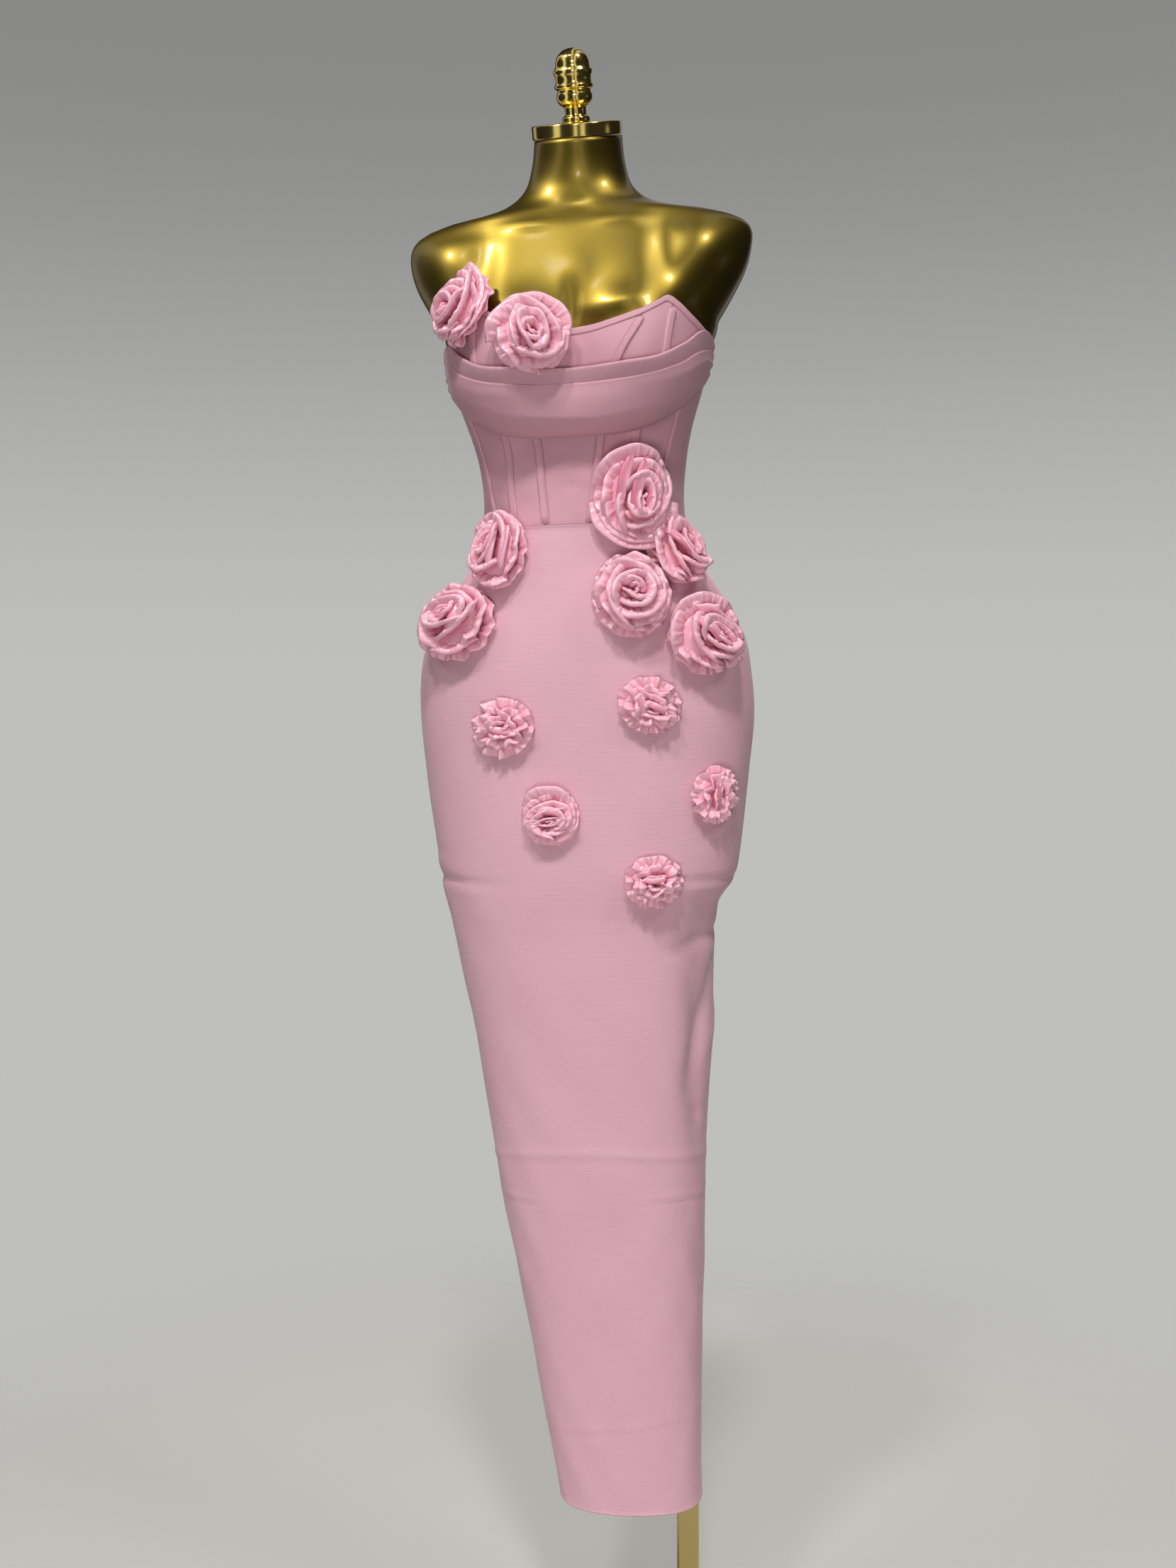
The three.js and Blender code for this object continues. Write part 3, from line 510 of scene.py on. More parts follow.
def makeWeave():
    # A plain fine weave: two crossed thread directions.
    takes = {"Vector": "Vector", "Threads": 1500.0, "Slub": 0.5}
    group, given, out = nodeGroup("fineWeave", takes, "Height")
    split = addNode(group, "SeparateXYZ", {0: given["Vector"]})
    waves = []
    for axis in ("X", "Y"):
        turned = mathNode(group, "MULTIPLY", split.outputs[axis], given["Threads"])
        waves.append(mathNode(group, "SINE", mathNode(group, "MULTIPLY", turned, 2 * math.pi)))
    crossed = mathNode(group, "MULTIPLY", *waves)
    grain = noiseNode(group, given["Vector"], mathNode(group, "MULTIPLY", given["Threads"], 0.35))
    grain = mathNode(group, "MULTIPLY", grain, given["Slub"])
    group.links.new(mathNode(group, "MULTIPLY_ADD", crossed, 0.25, grain), out["Height"])
    return group


def makeHandling():
    # Faint smudges and fine pits in a polished or painted surface.
    takes = {"Vector": "Vector", "Size": 6.0, "Low": 0.1, "High": 0.2}
    group, given, out = nodeGroup("handling", takes, "Roughness", "Height")
    smudge = noiseNode(group, given["Vector"], given["Size"], 5.0, 0.6)
    smudge = mathNode(group, "MULTIPLY_ADD", mathNode(group, "SUBTRACT", smudge, 0.35), 2.5, 0.0)
    share = addNode(group, "Clamp", {"Value": smudge}).outputs[0]
    spread = mathNode(group, "SUBTRACT", given["High"], given["Low"])
    rough = mathNode(group, "MULTIPLY_ADD", share, spread, given["Low"])
    group.links.new(rough, out["Roughness"])
    pits = noiseNode(group, given["Vector"], mathNode(group, "MULTIPLY", given["Size"], 60.0))
    group.links.new(pits, out["Height"])
    return group


groups = {"tone": makeClothTone(), "ribs": makeRibs(), "weave": makeWeave(),
          "handling": makeHandling()}


def groupNode(tree, key, coords, values):
    return addNode(tree, "Group", {"Vector": coords, **values}, node_tree=groups[key]).outputs


def bumpFrom(tree, shader, height, strength, distance):
    bump = addNode(tree, "Bump", {"Height": height, "Strength": strength, "Distance": distance})
    tree.links.new(bump.outputs["Normal"], shader.inputs["Normal"])


def clothMaterial(name, light, deep, texture, values, bump, settings, toneSize=9.0, spread=0.5):
    material, shader = newMaterial(name, settings)
    tree = material.node_tree
    uv = addNode(tree, "UVMap", uv_map="cloth").outputs["UV"]
    dyes = {"Light": (*light, 1), "Deep": (*deep, 1), "Size": toneSize, "Spread": spread}
    tree.links.new(groupNode(tree, "tone", uv, dyes)["Color"], shader.inputs["Base Color"])
    bumpFrom(tree, shader, groupNode(tree, texture, uv, values)["Height"], *bump)
    return material


def paintFoldShade(material, shadeTint, near, far):
    # Painted shade: the strips' colour darkens towards their feet, down between the folds.
    tree = material.node_tree
    colour = tree.nodes["Principled BSDF"].inputs["Base Color"]
    uv = addNode(tree, "UVMap", uv_map="cloth").outputs["UV"]
    down = addNode(tree, "SeparateXYZ", {0: uv}).outputs["Y"]
    share = rangeNode(tree, mathNode(tree, "ABSOLUTE", down), near, far)
    colours = {"Factor": share, "A": colour.links[0].from_socket, "B": (*shadeTint, 1)}
    mix = addNode(tree, "Mix", colours, data_type="RGBA", blend_type="MULTIPLY")
    tree.links.new(mix.outputs["Result"], colour)


def metalMaterial(name, colour, low, high, size, bump, settings):
    material, shader = newMaterial(name, {**settings, "Base Color": (*colour, 1)})
    tree = material.node_tree
    coords = addNode(tree, "TexCoord").outputs["Object"]
    worn = groupNode(tree, "handling", coords, {"Low": low, "High": high, "Size": size})
    tree.links.new(worn["Roughness"], shader.inputs["Roughness"])
    bumpFrom(tree, shader, worn["Height"], *bump)
    return material


skirtKnit = clothMaterial(
    "skirtKnit", (0.79, 0.46, 0.565), (0.70, 0.39, 0.48), "ribs",
    {"Ribs": 620.0, "Slub": 0.5}, (0.35, 0.0006),
    {"Roughness": 0.9, "Sheen Weight": 0.25, "Sheen Roughness": 0.4, "Specular IOR Level": 0.25},
)
bodiceCrepe = clothMaterial(
    "bodiceCrepe", (0.69, 0.378, 0.45), (0.61, 0.318, 0.385), "weave",
    {"Threads": 1400.0, "Slub": 0.8}, (0.25, 0.0003),
    {"Roughness": 0.72, "Sheen Weight": 0.2, "Sheen Roughness": 0.35, "Specular IOR Level": 0.4},
)
roseSatin = clothMaterial(
    "roseSatin", (0.97, 0.53, 0.645), (0.91, 0.455, 0.57), "weave",
    {"Threads": 2200.0, "Slub": 0.5}, (0.12, 0.0002),
    {"Roughness": 0.32, "Sheen Weight": 0.05, "Sheen Roughness": 0.3,
     "Specular IOR Level": 0.8, "Coat Weight": 0.35, "Coat Roughness": 0.24},
    toneSize=30.0, spread=0.4,
)
# painted shade in the rose satin, darker down between the folds
paintFoldShade(roseSatin, (0.73, 0.37, 0.45), 4 * mm, 16 * mm)
stitchThread = clothMaterial(
    "stitchThread", (0.62, 0.3, 0.38), (0.52, 0.24, 0.32), "weave",
    {"Threads": 3000.0, "Slub": 0.6}, (0.2, 0.0002), {"Roughness": 0.6},
)
formGold = metalMaterial(
    "formGold", (0.30, 0.212, 0.034), 0.37, 0.43, 5.0, (0.02, 0.0004),
    {"Metallic": 1.0, "Coat Weight": 0.3, "Coat Roughness": 0.1},
)
goldPlate = metalMaterial(
    "goldPlate", (0.9, 0.68, 0.2), 0.14, 0.22, 14.0, (0.02, 0.0002), {"Metallic": 1.0},
)
standGold = metalMaterial(
    "standGold", (0.62, 0.48, 0.20), 0.28, 0.42, 8.0, (0.06, 0.0003), {"Metallic": 1.0},
)
print("stage: materials")

# The form and its hardware.
bareForm = {"around": 200, "rise": 4.5, "rim": 7, "girth": 120, "inset": 4}


def addForm():
    low, high, rim = figure["formBottom"], figure["neckTop"], bareForm["rim"]
    around = np.linspace(-math.pi, math.pi, bareForm["around"] + 1)
    up = stops(low, high, bareForm["rise"], ("low",))

    def place(angle, z):
        points = formPoint(angle, z)
        t = np.clip((z - low) / rim, 0, 1)
        drawn = rim * (1 - np.sqrt(1 - (1 - t) ** 2))
        share = 1 - drawn / np.hypot(points[:, 0], points[:, 1])
        points[:, :2] *= share[:, None]
        return points

    bm = gridPiece(around, up, place, lambda a, z: (a * bareForm["girth"], z))
    bmesh.ops.remove_doubles(bm, verts=bm.verts, dist=0.001 * mm)
    rims = [edge for edge in bm.edges if edge.is_boundary]
    bmesh.ops.holes_fill(bm, edges=rims, sides=0)
    caps = [face for face in bm.faces if len(face.verts) > 8]
    bmesh.ops.inset_region(bm, faces=caps, thickness=bareForm["inset"] * mm)
    bmesh.ops.recalc_face_normals(bm, faces=bm.faces)
    asObject("dressForm", bm, formGold, "dress_form")


def turnedPiece(name, profile, place, material, node):
    # A profile of radius and height, spun round and set in place.
    bm = bmesh.new()
    line = [bm.verts.new((radius * mm, 0, height * mm)) for radius, height in profile]
    edges = [bm.edges.new(pair) for pair in zip(line, line[1:])]
    bmesh.ops.spin(bm, geom=line + edges, cent=(0, 0, 0), axis=(0, 0, 1), dvec=(0, 0, 0),
                   angle=2 * math.pi, steps=96, use_merge=True, use_duplicate=False)
    closed(bm)
    bmesh.ops.transform(bm, matrix=place, verts=bm.verts)
    bm.loops.layers.uv.new("cloth")
    return asObject(name, bm, material, node)


def rounded(points, radius, parts=4):
    # The same line of points with its corners rounded.
    out = [points[0]]
    for a, b, c in zip(points, points[1:], points[2:]):
        first, second = Vector(a) - Vector(b), Vector(c) - Vector(b)
        reach = min(radius, first.length * 0.45, second.length * 0.45)
        start = Vector(b) + first.normalized() * reach
        end = Vector(b) + second.normalized() * reach
        for k in range(parts + 1):
            t = k / parts
            point = start * (1 - t) ** 2 + Vector(b) * 2 * t * (1 - t) + end * t * t
            out.append(tuple(point))
    out.append(points[-1])
    return out


neckPlace = (
    Matrix.Translation(Vector((neck["x"], neck["y"], figure["neckTop"] + gap)) * mm)
    @ Matrix.Rotation(math.radians(neck["tilt"]), 4, "X")
    @ Matrix.Rotation(-figure["lean"], 4, "Y")
)
neckCap = {"radius": 44.8, "height": 13, "edge": 1.6}
finialProfile = [
    (0, 0), (14, 0), (14, 5.6), (10.8, 7), (10.8, 15), (15, 17), (18, 21.5), (18, 26), (16, 30),
    (20, 32.7), (17.6, 37.4), (17.6, 42), (20, 47), (17, 51.5), (16.8, 56), (14.6, 61.6),
    (9.5, 66.4), (4, 68.2), (0, 68.6),
]
stand = {"postX": 101, "postY": 4, "base": (170, 9), "flange": (27, 6), "socket": (22, 12)}


def addHardware():
    addForm()

    def disc(name, size, place, node, edge, material=standGold):
        radius, height = size
        profile = [(0, 0), (radius, 0), (radius, height), (0, height)]
        turnedPiece(name, rounded(profile, edge), place, material, node)

    def standing(x, y, z):
        return Matrix.Translation(Vector((x, y, z)) * mm)

    disc("neckCap", (neckCap["radius"], neckCap["height"]), neckPlace, "neck_cap",
         neckCap["edge"], goldPlate)
    top = neckPlace @ standing(0, 0, neckCap["height"] + gap)
    turnedPiece("finialKnob", rounded(finialProfile, 2.2), top, goldPlate, "finial")
    post = stand["postX"], stand["postY"]
    disc("baseDisc", stand["base"], standing(0, 0, 0), "stand_base", 3)
    disc("postFlange", stand["flange"], standing(*post, stand["base"][1] + gap), "post_flange", 2)
    foot = figure["formBottom"] - gap - stand["socket"][1]
    disc("formSocket", stand["socket"], standing(*post, foot), "form_socket", 2)
    finishes = {"stand_post": standGold, "zip_slider": goldPlate, "zip_pull": goldPlate}
    for node, material in finishes.items():
        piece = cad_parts[node]
        piece.data.materials.clear()
        piece.data.materials.append(material)


addHardware()
print("stage: form, cap, finial, post and base")

# The skirt. Its creases: width, under (the share of a trough below a ridge), and the path of
# (degrees, height, depth).
skirt = {"step": 4.0, "unevenness": 0.35, "thickness": 1.4, "seamDip": 0.7}
skirtPanels = [  # piece, node, from and to in degrees, flat width
    ("skirtFront", "skirt_front", -90, 90, 0.52),
    ("skirtBackLeft", "skirt_back_left", 90, 180, 0.28),
    ("skirtBackRight", "skirt_back_right", -180, -90, 0.28),
]
skirtCreases = [
    (4.2, 0.2, [(-100, 570, 0.3), (-88, 575, 1.0), (-40, 588, 1.1), (0, 593, 1.0),
        (60, 584, 1.0), (113, 568, 0.6), (150, 566, 0)]),
    (2.6, 0.8, [(-82, 537, 0), (-72, 538, 1.1), (-40, 541, 0.9), (-20, 541, 0)]),
    (2.6, 0.8, [(14, 546, 0), (28, 546, 0.9), (60, 543, 1.1), (90, 538, 0.9), (105, 537, 0)]),
    (3.0, 0.7, [(-95, 286, 0), (-78, 288, 0.6), (-44, 291, 0.6), (-21, 294, 0.7), (7, 301, 0.6),
        (38, 306, 0.6), (66, 309, 0.6), (95, 309, 0.3)]),
    (4.2, 0, [(-96, 865, -1.2), (-76, 866, -3.0), (-52, 865, -3.0), (-34, 864, -0.8),
        (-20, 864, 0)]),
    (7.0, 0, [(-90, 882, 1.0), (-70, 882, 1.4), (-48, 881, 0)]),
    (4.0, 0, [(30, 868, 0), (42, 868, -2.0), (58, 867, -2.8), (75, 866, -3.0), (92, 865, -1.5)]),
    (5.0, 0, [(-40, 838, 0), (-10, 834, -0.25), (20, 833, -0.25), (40, 838, 0)]),
    (8.0, 0, [(33, 797, 0), (50, 800, -3.0), (75, 806, -4.0), (94, 812, -2.0)]),
    (14.0, 0, [(88, 790, -1.0), (76, 755, -3.2), (66, 715, -3.4), (54, 670, -1.6), (50, 640, 0)]),
    (11.0, 0, [(104, 740, 1.2), (88, 712, 1.4), (74, 686, 0.8), (62, 662, 0)]),
    (7.0, 0, [(56, 632, 0), (66, 626, -1.8), (74, 620, 0)]),
    (3.0, 0, [(-4, 1205, 0), (-3, 1196, -0.7), (-3, 1184, 0)]),
    (9.0, 0, [(100, 860, -2), (125, 835, -3), (145, 822, 0)]),
    (7.0, 0, [(-145, 842, 0), (-120, 850, -2.5), (-95, 862, -1.5)]),
    (7.0, 0, [(150, 868, 0), (172, 862, -2.4), (180, 861, -2.4)]),
    (7.0, 0, [(-180, 861, -2.4), (-160, 866, 0)]),
    (4.0, 0.6, [(128, 606, 0), (150, 588, 0.8), (172, 584, 0.5), (180, 584, 0.3)]),
    (4.0, 0.6, [(-180, 590, 0.3), (-150, 580, 0.8), (-118, 566, 0.6), (-100, 568, 0)]),
    (3.5, 0.6, [(120, 318, 0), (150, 306, 0.7), (180, 300, 0.4)]),
    (3.5, 0.6, [(-180, 300, 0.4), (-150, 296, 0.7), (-110, 288, 0)]),
]


def skirtShape(angle, z):
    out = creaseHeight(skirtCreases, angle, z)
    below = smooth(figure["formBottom"] + 30 - z, 0, 60)
    out = out + skirt["unevenness"] * ripple(4, angle, z, 70) * (0.35 + 0.65 * below)
    out = out + 0.5 * bell(z, figure["hem"] + 1.2, 1.4)  # turned hem
    top = figure["waistSeam"] - z
    return out + 0.9 * bell(top, 0, 2.2) - 0.5 * bell(top, 6, 3)


def addSkirt():
    for name, node, low, high, width in skirtPanels:
        edge = 0.06  # degrees kept clear at a seam
        across = np.radians(stops(low + edge, high - edge, math.degrees(skirt["step"] / girth)))
        up = stops(figure["hem"], figure["waistSeam"] - gap / 2, skirt["step"])

        def place(angle, z):
            seam = np.minimum(np.abs(np.degrees(angle) - low), np.abs(np.degrees(angle) - high))
            dip = -skirt["seamDip"] * bell(seam, 0, 1 / 1.1)
            return dressPoint(angle, z, skirtShape(angle, z) + dip)

        bm = gridPiece(across, up, place, lambda a, z: (a * girth, z))
        piece, area = clothPiece(name, bm, skirtKnit, node, skirt["thickness"])


addSkirt()
print("stage: skirt")

# The bodice, its bone channels and the band along its top.
bodice = {"step": 3.0, "thickness": 1.4, "length": 0.24, "unevenness": 0.22}
bodiceCreases = [
    (5.5, 0, [(-14, 1262, 0), (-7, 1276, 1.1), (2, 1282, 1.0), (9, 1292, 0)]),
    (6.0, 0, [(-12, 1246, 0), (-4, 1255, -1.0), (4, 1252, -0.8), (8, 1246, 0)]),
    (4.5, 0, [(-4, 1240, 0), (1, 1230, 0.8), (7, 1226, 0)]),
    (4.5, 0, [(-32, 1236, 0), (-27, 1252, 0.9), (-21, 1276, 0)]),
    (5.0, 0, [(-50, 1250, 0), (-44, 1262, 0.7), (-40, 1280, 0)]),
    (5.0, 0, [(14, 1250, 0), (22, 1262, 0.8), (30, 1268, 0)]),
    (5.0, 0, [(100, 1262, 0), (125, 1256, 0.9), (160, 1262, 0)]),
    (5.0, 0, [(-160, 1250, 0), (-130, 1246, 0.9), (-100, 1254, 0)]),
    (6.0, 0, [(110, 1310, 0), (140, 1300, 0.7), (165, 1304, 0)]),
]
seamColumns = {"inner": 2, "centre": 3, "outer": 4}  # of the table bodiceSeams
channel = {"width": 9.0, "outerShare": 0.72, "rise": 2.5, "below": 9, "slope": 7,
           "thickness": 0.6, "stitch": 2.6, "stitchAt": 0.72}
binding = {"width": 7.5, "rise": 1.2, "girth": 120, "thickness": 0.6}


def bodiceShape(angle, z):
    out = creaseHeight(bodiceCreases, angle, z) + bodice["unevenness"] * ripple(9, angle, z, 60)
    return out - 0.5 * bell(z, figure["waistSeam"], 2.0)


def bodicePanels():
    # Each panel's name, node, left and right edge at a height, and width on the form.
    def edge(side, seam):
        if isinstance(seam, str):
            return lambda z: seamAngle(side, seamColumns[seam], z)
        return lambda z: np.full(np.shape(z), math.radians(side * seam))

    found = [("CentreFront", "centre_front", edge(-1, "inner"), edge(1, "inner"), 60)]
    for side, word in ((1, "Left"), (-1, "Right")):
        parts = [("SideFront", "side_front", "inner", "centre", 40),
                 ("Side", "side", "centre", "outer", 40),
                 ("Underarm", "underarm", "outer", 90, 46), ("Back", "back", 90, 180, 150)]
        for title, node, first, second, width in parts:
            low, high = edge(side, first), edge(side, second)
            if side < 0:
                low, high = high, low
            found.append((title + word, f"{node}_{word.lower()}", low, high, width))
    return found


def addBodice():
    low = figure["waistSeam"] + gap / 2
    for title, node, left, right, width in bodicePanels():
        across = stops(0, width, bodice["step"]) / width
        up = stops(0, 200, bodice["step"]) / 200

        def place(share, rise):
            z = low + rise * 180
            for _ in range(5):  # the panel's top follows the neckline
                angle = left(z) * (1 - share) + right(z) * share
                z = low + (necklineAt(angle) - low) * rise
            inset = 0.0015 * (0.5 - share)
            seam = np.minimum(share, 1 - share) * width
            out = bodiceShape(angle, z) - 0.6 * bell(seam, 0, 1.8)
            return dressPoint(angle + inset, z, out)

        bm = gridPiece(across, up, place, lambda s, r: (s * width, r * 200))
        piece, area = clothPiece("bodice" + title, bm, bodiceCrepe, f"bodice_{node}",
                                 bodice["thickness"])


def addChannel(side, word, seam, number):
    # One bone channel over its seam; returns where its stitches lie.
    top = float(necklineAt(seamAngle(side, number, 1410))) - channel["below"]
    foot = figure["waistSeam"] + gap
    half = channel["width"] / 2 * (channel["outerShare"] if seam == "outer" else 1.0)

    def point(part, z, lift):
        angle = seamAngle(side, number, z)
        near = dressPoint(angle + 0.01, z) - dressPoint(angle, z)
        reach = np.linalg.norm(near, axis=-1) / 0.01
        return dressPoint(angle + part * half / reach, z, lift)

    def place(part, z):
        end = np.minimum(1, np.maximum(0, (top - z) / 4.0))
        narrow = np.sqrt(1 - (1 - end) ** 2) * 0.5 + 0.5
        body = 1 - np.abs(part) ** 6
        groove = 0.45 * bell(np.abs(part), channel["stitchAt"], 0.1)
        lift = 0.2 + (channel["rise"] * body - groove) * np.minimum(1, end + 0.35)
        lift = lift * smooth(z, foot, foot + channel["slope"]) - 0.4 * (z < foot + 0.1)
        return point(part * narrow, z, lift + bodiceShape(seamAngle(side, number, z), z))

    bm = gridPiece(np.linspace(-1, 1, 15), stops(foot, top, 2.5, ()), place,
                   lambda p, z: (p * half, z))
    name = f"channel{seam.capitalize()}{word.capitalize()}"
    piece, area = clothPiece(name, bm, bodiceCrepe, f"channel_{seam}_{word}",
                             channel["thickness"])
    marks = []
    lift = channel["rise"] - 0.05
    for z in np.arange(foot + 3, top - 5, channel["stitch"]):
        for part in (-channel["stitchAt"], channel["stitchAt"]):
            here, ahead = (point(np.array([part]), np.array([at]), lift)[0] for at in (z, z + 1))
            marks.append((here, ahead - here))
    return marks


def addStitches(name, marks, length=1.6, thick=0.55):
    # marks: where each stitch lies, and its direction
    bm = bmesh.new()
    for here, way in marks:
        turn = Vector(way).to_track_quat("Z", "Y").to_matrix().to_4x4()
        size = Matrix.Diagonal((thick / 2, thick / 2, length / 2, 1))
        place = Matrix.Scale(mm, 4) @ Matrix.Translation(Vector(here)) @ turn @ size
        bmesh.ops.create_icosphere(bm, subdivisions=1, radius=1, matrix=place)
    bm.loops.layers.uv.new("cloth")
    asObject(name, bm, stitchThread)


def addBinding():
    around = np.radians(stops(-179, 179, 1.2, ()))

    def place(angle, rise):
        z = necklineAt(angle) - binding["width"] * (1 - rise) + 0.8
        body = 1 - np.abs(rise * 2 - 1) ** 5
        gather = 0.09 * np.sin(angle * 900) * body
        lift = 0.3 + binding["rise"] * body - 0.5 * bell(rise, 0, 0.12)
        return dressPoint(angle, z, lift + gather)

    bm = gridPiece(around, np.linspace(0, 1, 12), place,
                   lambda a, r: (a * binding["girth"], r * binding["width"]))
    piece, area = clothPiece("necklineBand", bm, bodiceCrepe, "neckline_band",
                             binding["thickness"])


addBodice()
stitches = []
for side, word in ((1, "left"), (-1, "right")):
    for seam, number in seamColumns.items():
        stitches += addChannel(side, word, seam, number)
addStitches("channelStitches", stitches)
addBinding()
print("stage: bodice, channels and band")

# The cowl drape.
cowl = {
    "rows": [  # angle, top of the upper fold, line between the folds, lower edge, off the bust
        (0, 1358, 1344, 1300, 9), (20, 1360, 1345.5, 1301, 9), (35, 1365, 1351, 1307, 8),
        (50, 1382, 1363, 1319, 5), (60, 1397, 1375, 1329, 3), (72, 1396, 1383, 1345, 1),
        (84, 1388, 1382, 1358, 0.3), (89, 1385, 1379, 1362, 0.2),
    ],
    "span": 88.5, "end": 1382,  # degrees to the side seams, and the folds' meeting height there
    "off": 2.9, "gathers": (66, 82, 0.9, 9.5),  # from, full at, depth, length
    "roll": 0.45, "girth": 130, "thickness": 0.9, "width": 0.40,
}
cowlCreases = [
    (5.0, 0.6, [(-60, 1352, 0), (-25, 1318, 1.0), (10, 1312, 1.2), (45, 1328, 0.9),
        (74, 1362, 0)]),
    (5.0, 0, [(-72, 1372, 0), (-40, 1345, 0.8), (-5, 1334, 0.5), (20, 1334, 0)]),
    (4.0, 0, [(20, 1342, 0), (45, 1350, 0.9), (68, 1372, 1.2), (82, 1378, 0.6)]),
]
cowlFolds = [  # piece, node, upper line, lower line, tuck under the lower line, slack
    ("cowlUpperFold", "cowl_upper_fold", 1, 2, 8, (0.2, 1.5, 0.2)),
    ("cowlLowerFold", "cowl_lower_fold", 2, 3, 0, (1.4, 10.0, 0.6)),
]


def addCowl():
    for name, node, high, low, tuck, slack in cowlFolds:
        across = np.radians(stops(-cowl["span"], cowl["span"], 1.2, ()))
        rise = np.concatenate([np.linspace(0, 1, 22), np.linspace(1.06, 2, 14)])

        def place(angle, part):
            turned = np.abs(np.degrees(angle))
            top, bottom, proud = (column(cowl["rows"], k, turned) for k in (high, low, 4))
            bottom = bottom - tuck
            up = np.clip(part, 0, 1)
            full = 0.1 + 0.9 * np.minimum(1, proud / 9) ** 1.5
            belly = slack[1] * np.sin(up**0.8 * math.pi) * full
            loose = slack[2] * (1 - up) + slack[0] * up + belly
            off = cowl["off"] + loose + proud * (0.35 + 0.65 * up**0.7) + 1.5
            z = bottom + (top - bottom) * up
            off = off + creaseHeight(cowlCreases, angle, z) * np.sin(up * math.pi) ** 0.5
            over = np.clip(part - 1, 0, 1)  # rolls over the top and down behind
            bend = np.clip(over / cowl["roll"], 0, 1) * math.pi
            radius = np.minimum(3.4, 0.8 + proud * 0.3)
            off = off - radius * (1 - np.cos(bend))
            z = z + radius * np.sin(bend) * 0.9 - np.clip(over - cowl["roll"], 0, 1) * 12
            foot = bell(up, 0, 0.08) * (part <= 1)
            start, gathered, deep, length = cowl["gathers"]
            pleat = np.cos((z - cowl["end"]) * 2 * math.pi / length) * np.sin(math.pi * up)
            off = off - foot * 0.8 + deep * pleat * smooth(turned, start, gathered)
            # the ends lie flat in the side seams
            sewn = smooth(turned, gathered - 2, cowl["span"])
            return dressPoint(angle, z, off * (1 - sewn) + (0.5 + 0.4 * (high == 1)) * sewn)

        bm = gridPiece(across, rise, place, lambda a, r: (a * cowl["girth"], r * 45))
        piece, area = clothPiece(name, bm, bodiceCrepe, node, cowl["thickness"])


addCowl()
print("stage: cowl")

# Each rose is a set of folded satin strips, wound in rings round a heart. Radii and reaches are
# shares of the rose's radius, heights and drops are shares of its rise.
evenEdge = (3, 0.01, 0.01)  # a strip's waves: how many, sideways and up
ringColumns = ("count", "half", "edge", "top", "reach", "drop", "flat", "puff", "frill")
fullRose = [dict(zip(ringColumns, row)) for row in (
    (1, 2.5, 0.1, 0.94, 0.05, 0.3, 0.1, 1.2, evenEdge),
    (2, 1.8, 0.25, 1.0, 0.14, 0.38, 0.5, 1.7, evenEdge),
    (2, 1.9, 0.45, 0.97, 0.24, 0.42, 0.45, 2.2, evenEdge),
    (3, 1.45, 0.68, 0.82, 0.34, 0.48, 0.5, 2.3, (4, 0.014, 0.03)),
    (4, 1.2, 0.9, 0.54, 0.42, 0.4, 0.35, 1.8, (7, 0.02, 0.06)),
    (0, math.pi, 0.97, 0.2, 0.4, 0.14, 0, 1.0, (11, 0.02, 0.08)),
)]
flatRose = [dict(zip(ringColumns, row)) for row in (
    (2, 1.7, 0.22, 0.98, 0.16, 0.4, 0.5, 1.6, evenEdge),
    (3, 1.3, 0.44, 0.94, 0.28, 0.4, 0.65, 1.8, (5, 0.04, 0.1)),
    (0, math.pi, 0.7, 0.72, 0.36, 0.3, 0, 1.7, (7, 0.08, 0.2)),
    (0, math.pi, 0.94, 0.36, 0.5, 0.1, 0, 1.2, (10, 0.03, 0.22)),
)]
roseColumns = ("node", "at", "size", "spread", "heart", "plan", "seed", "wide", "bands")
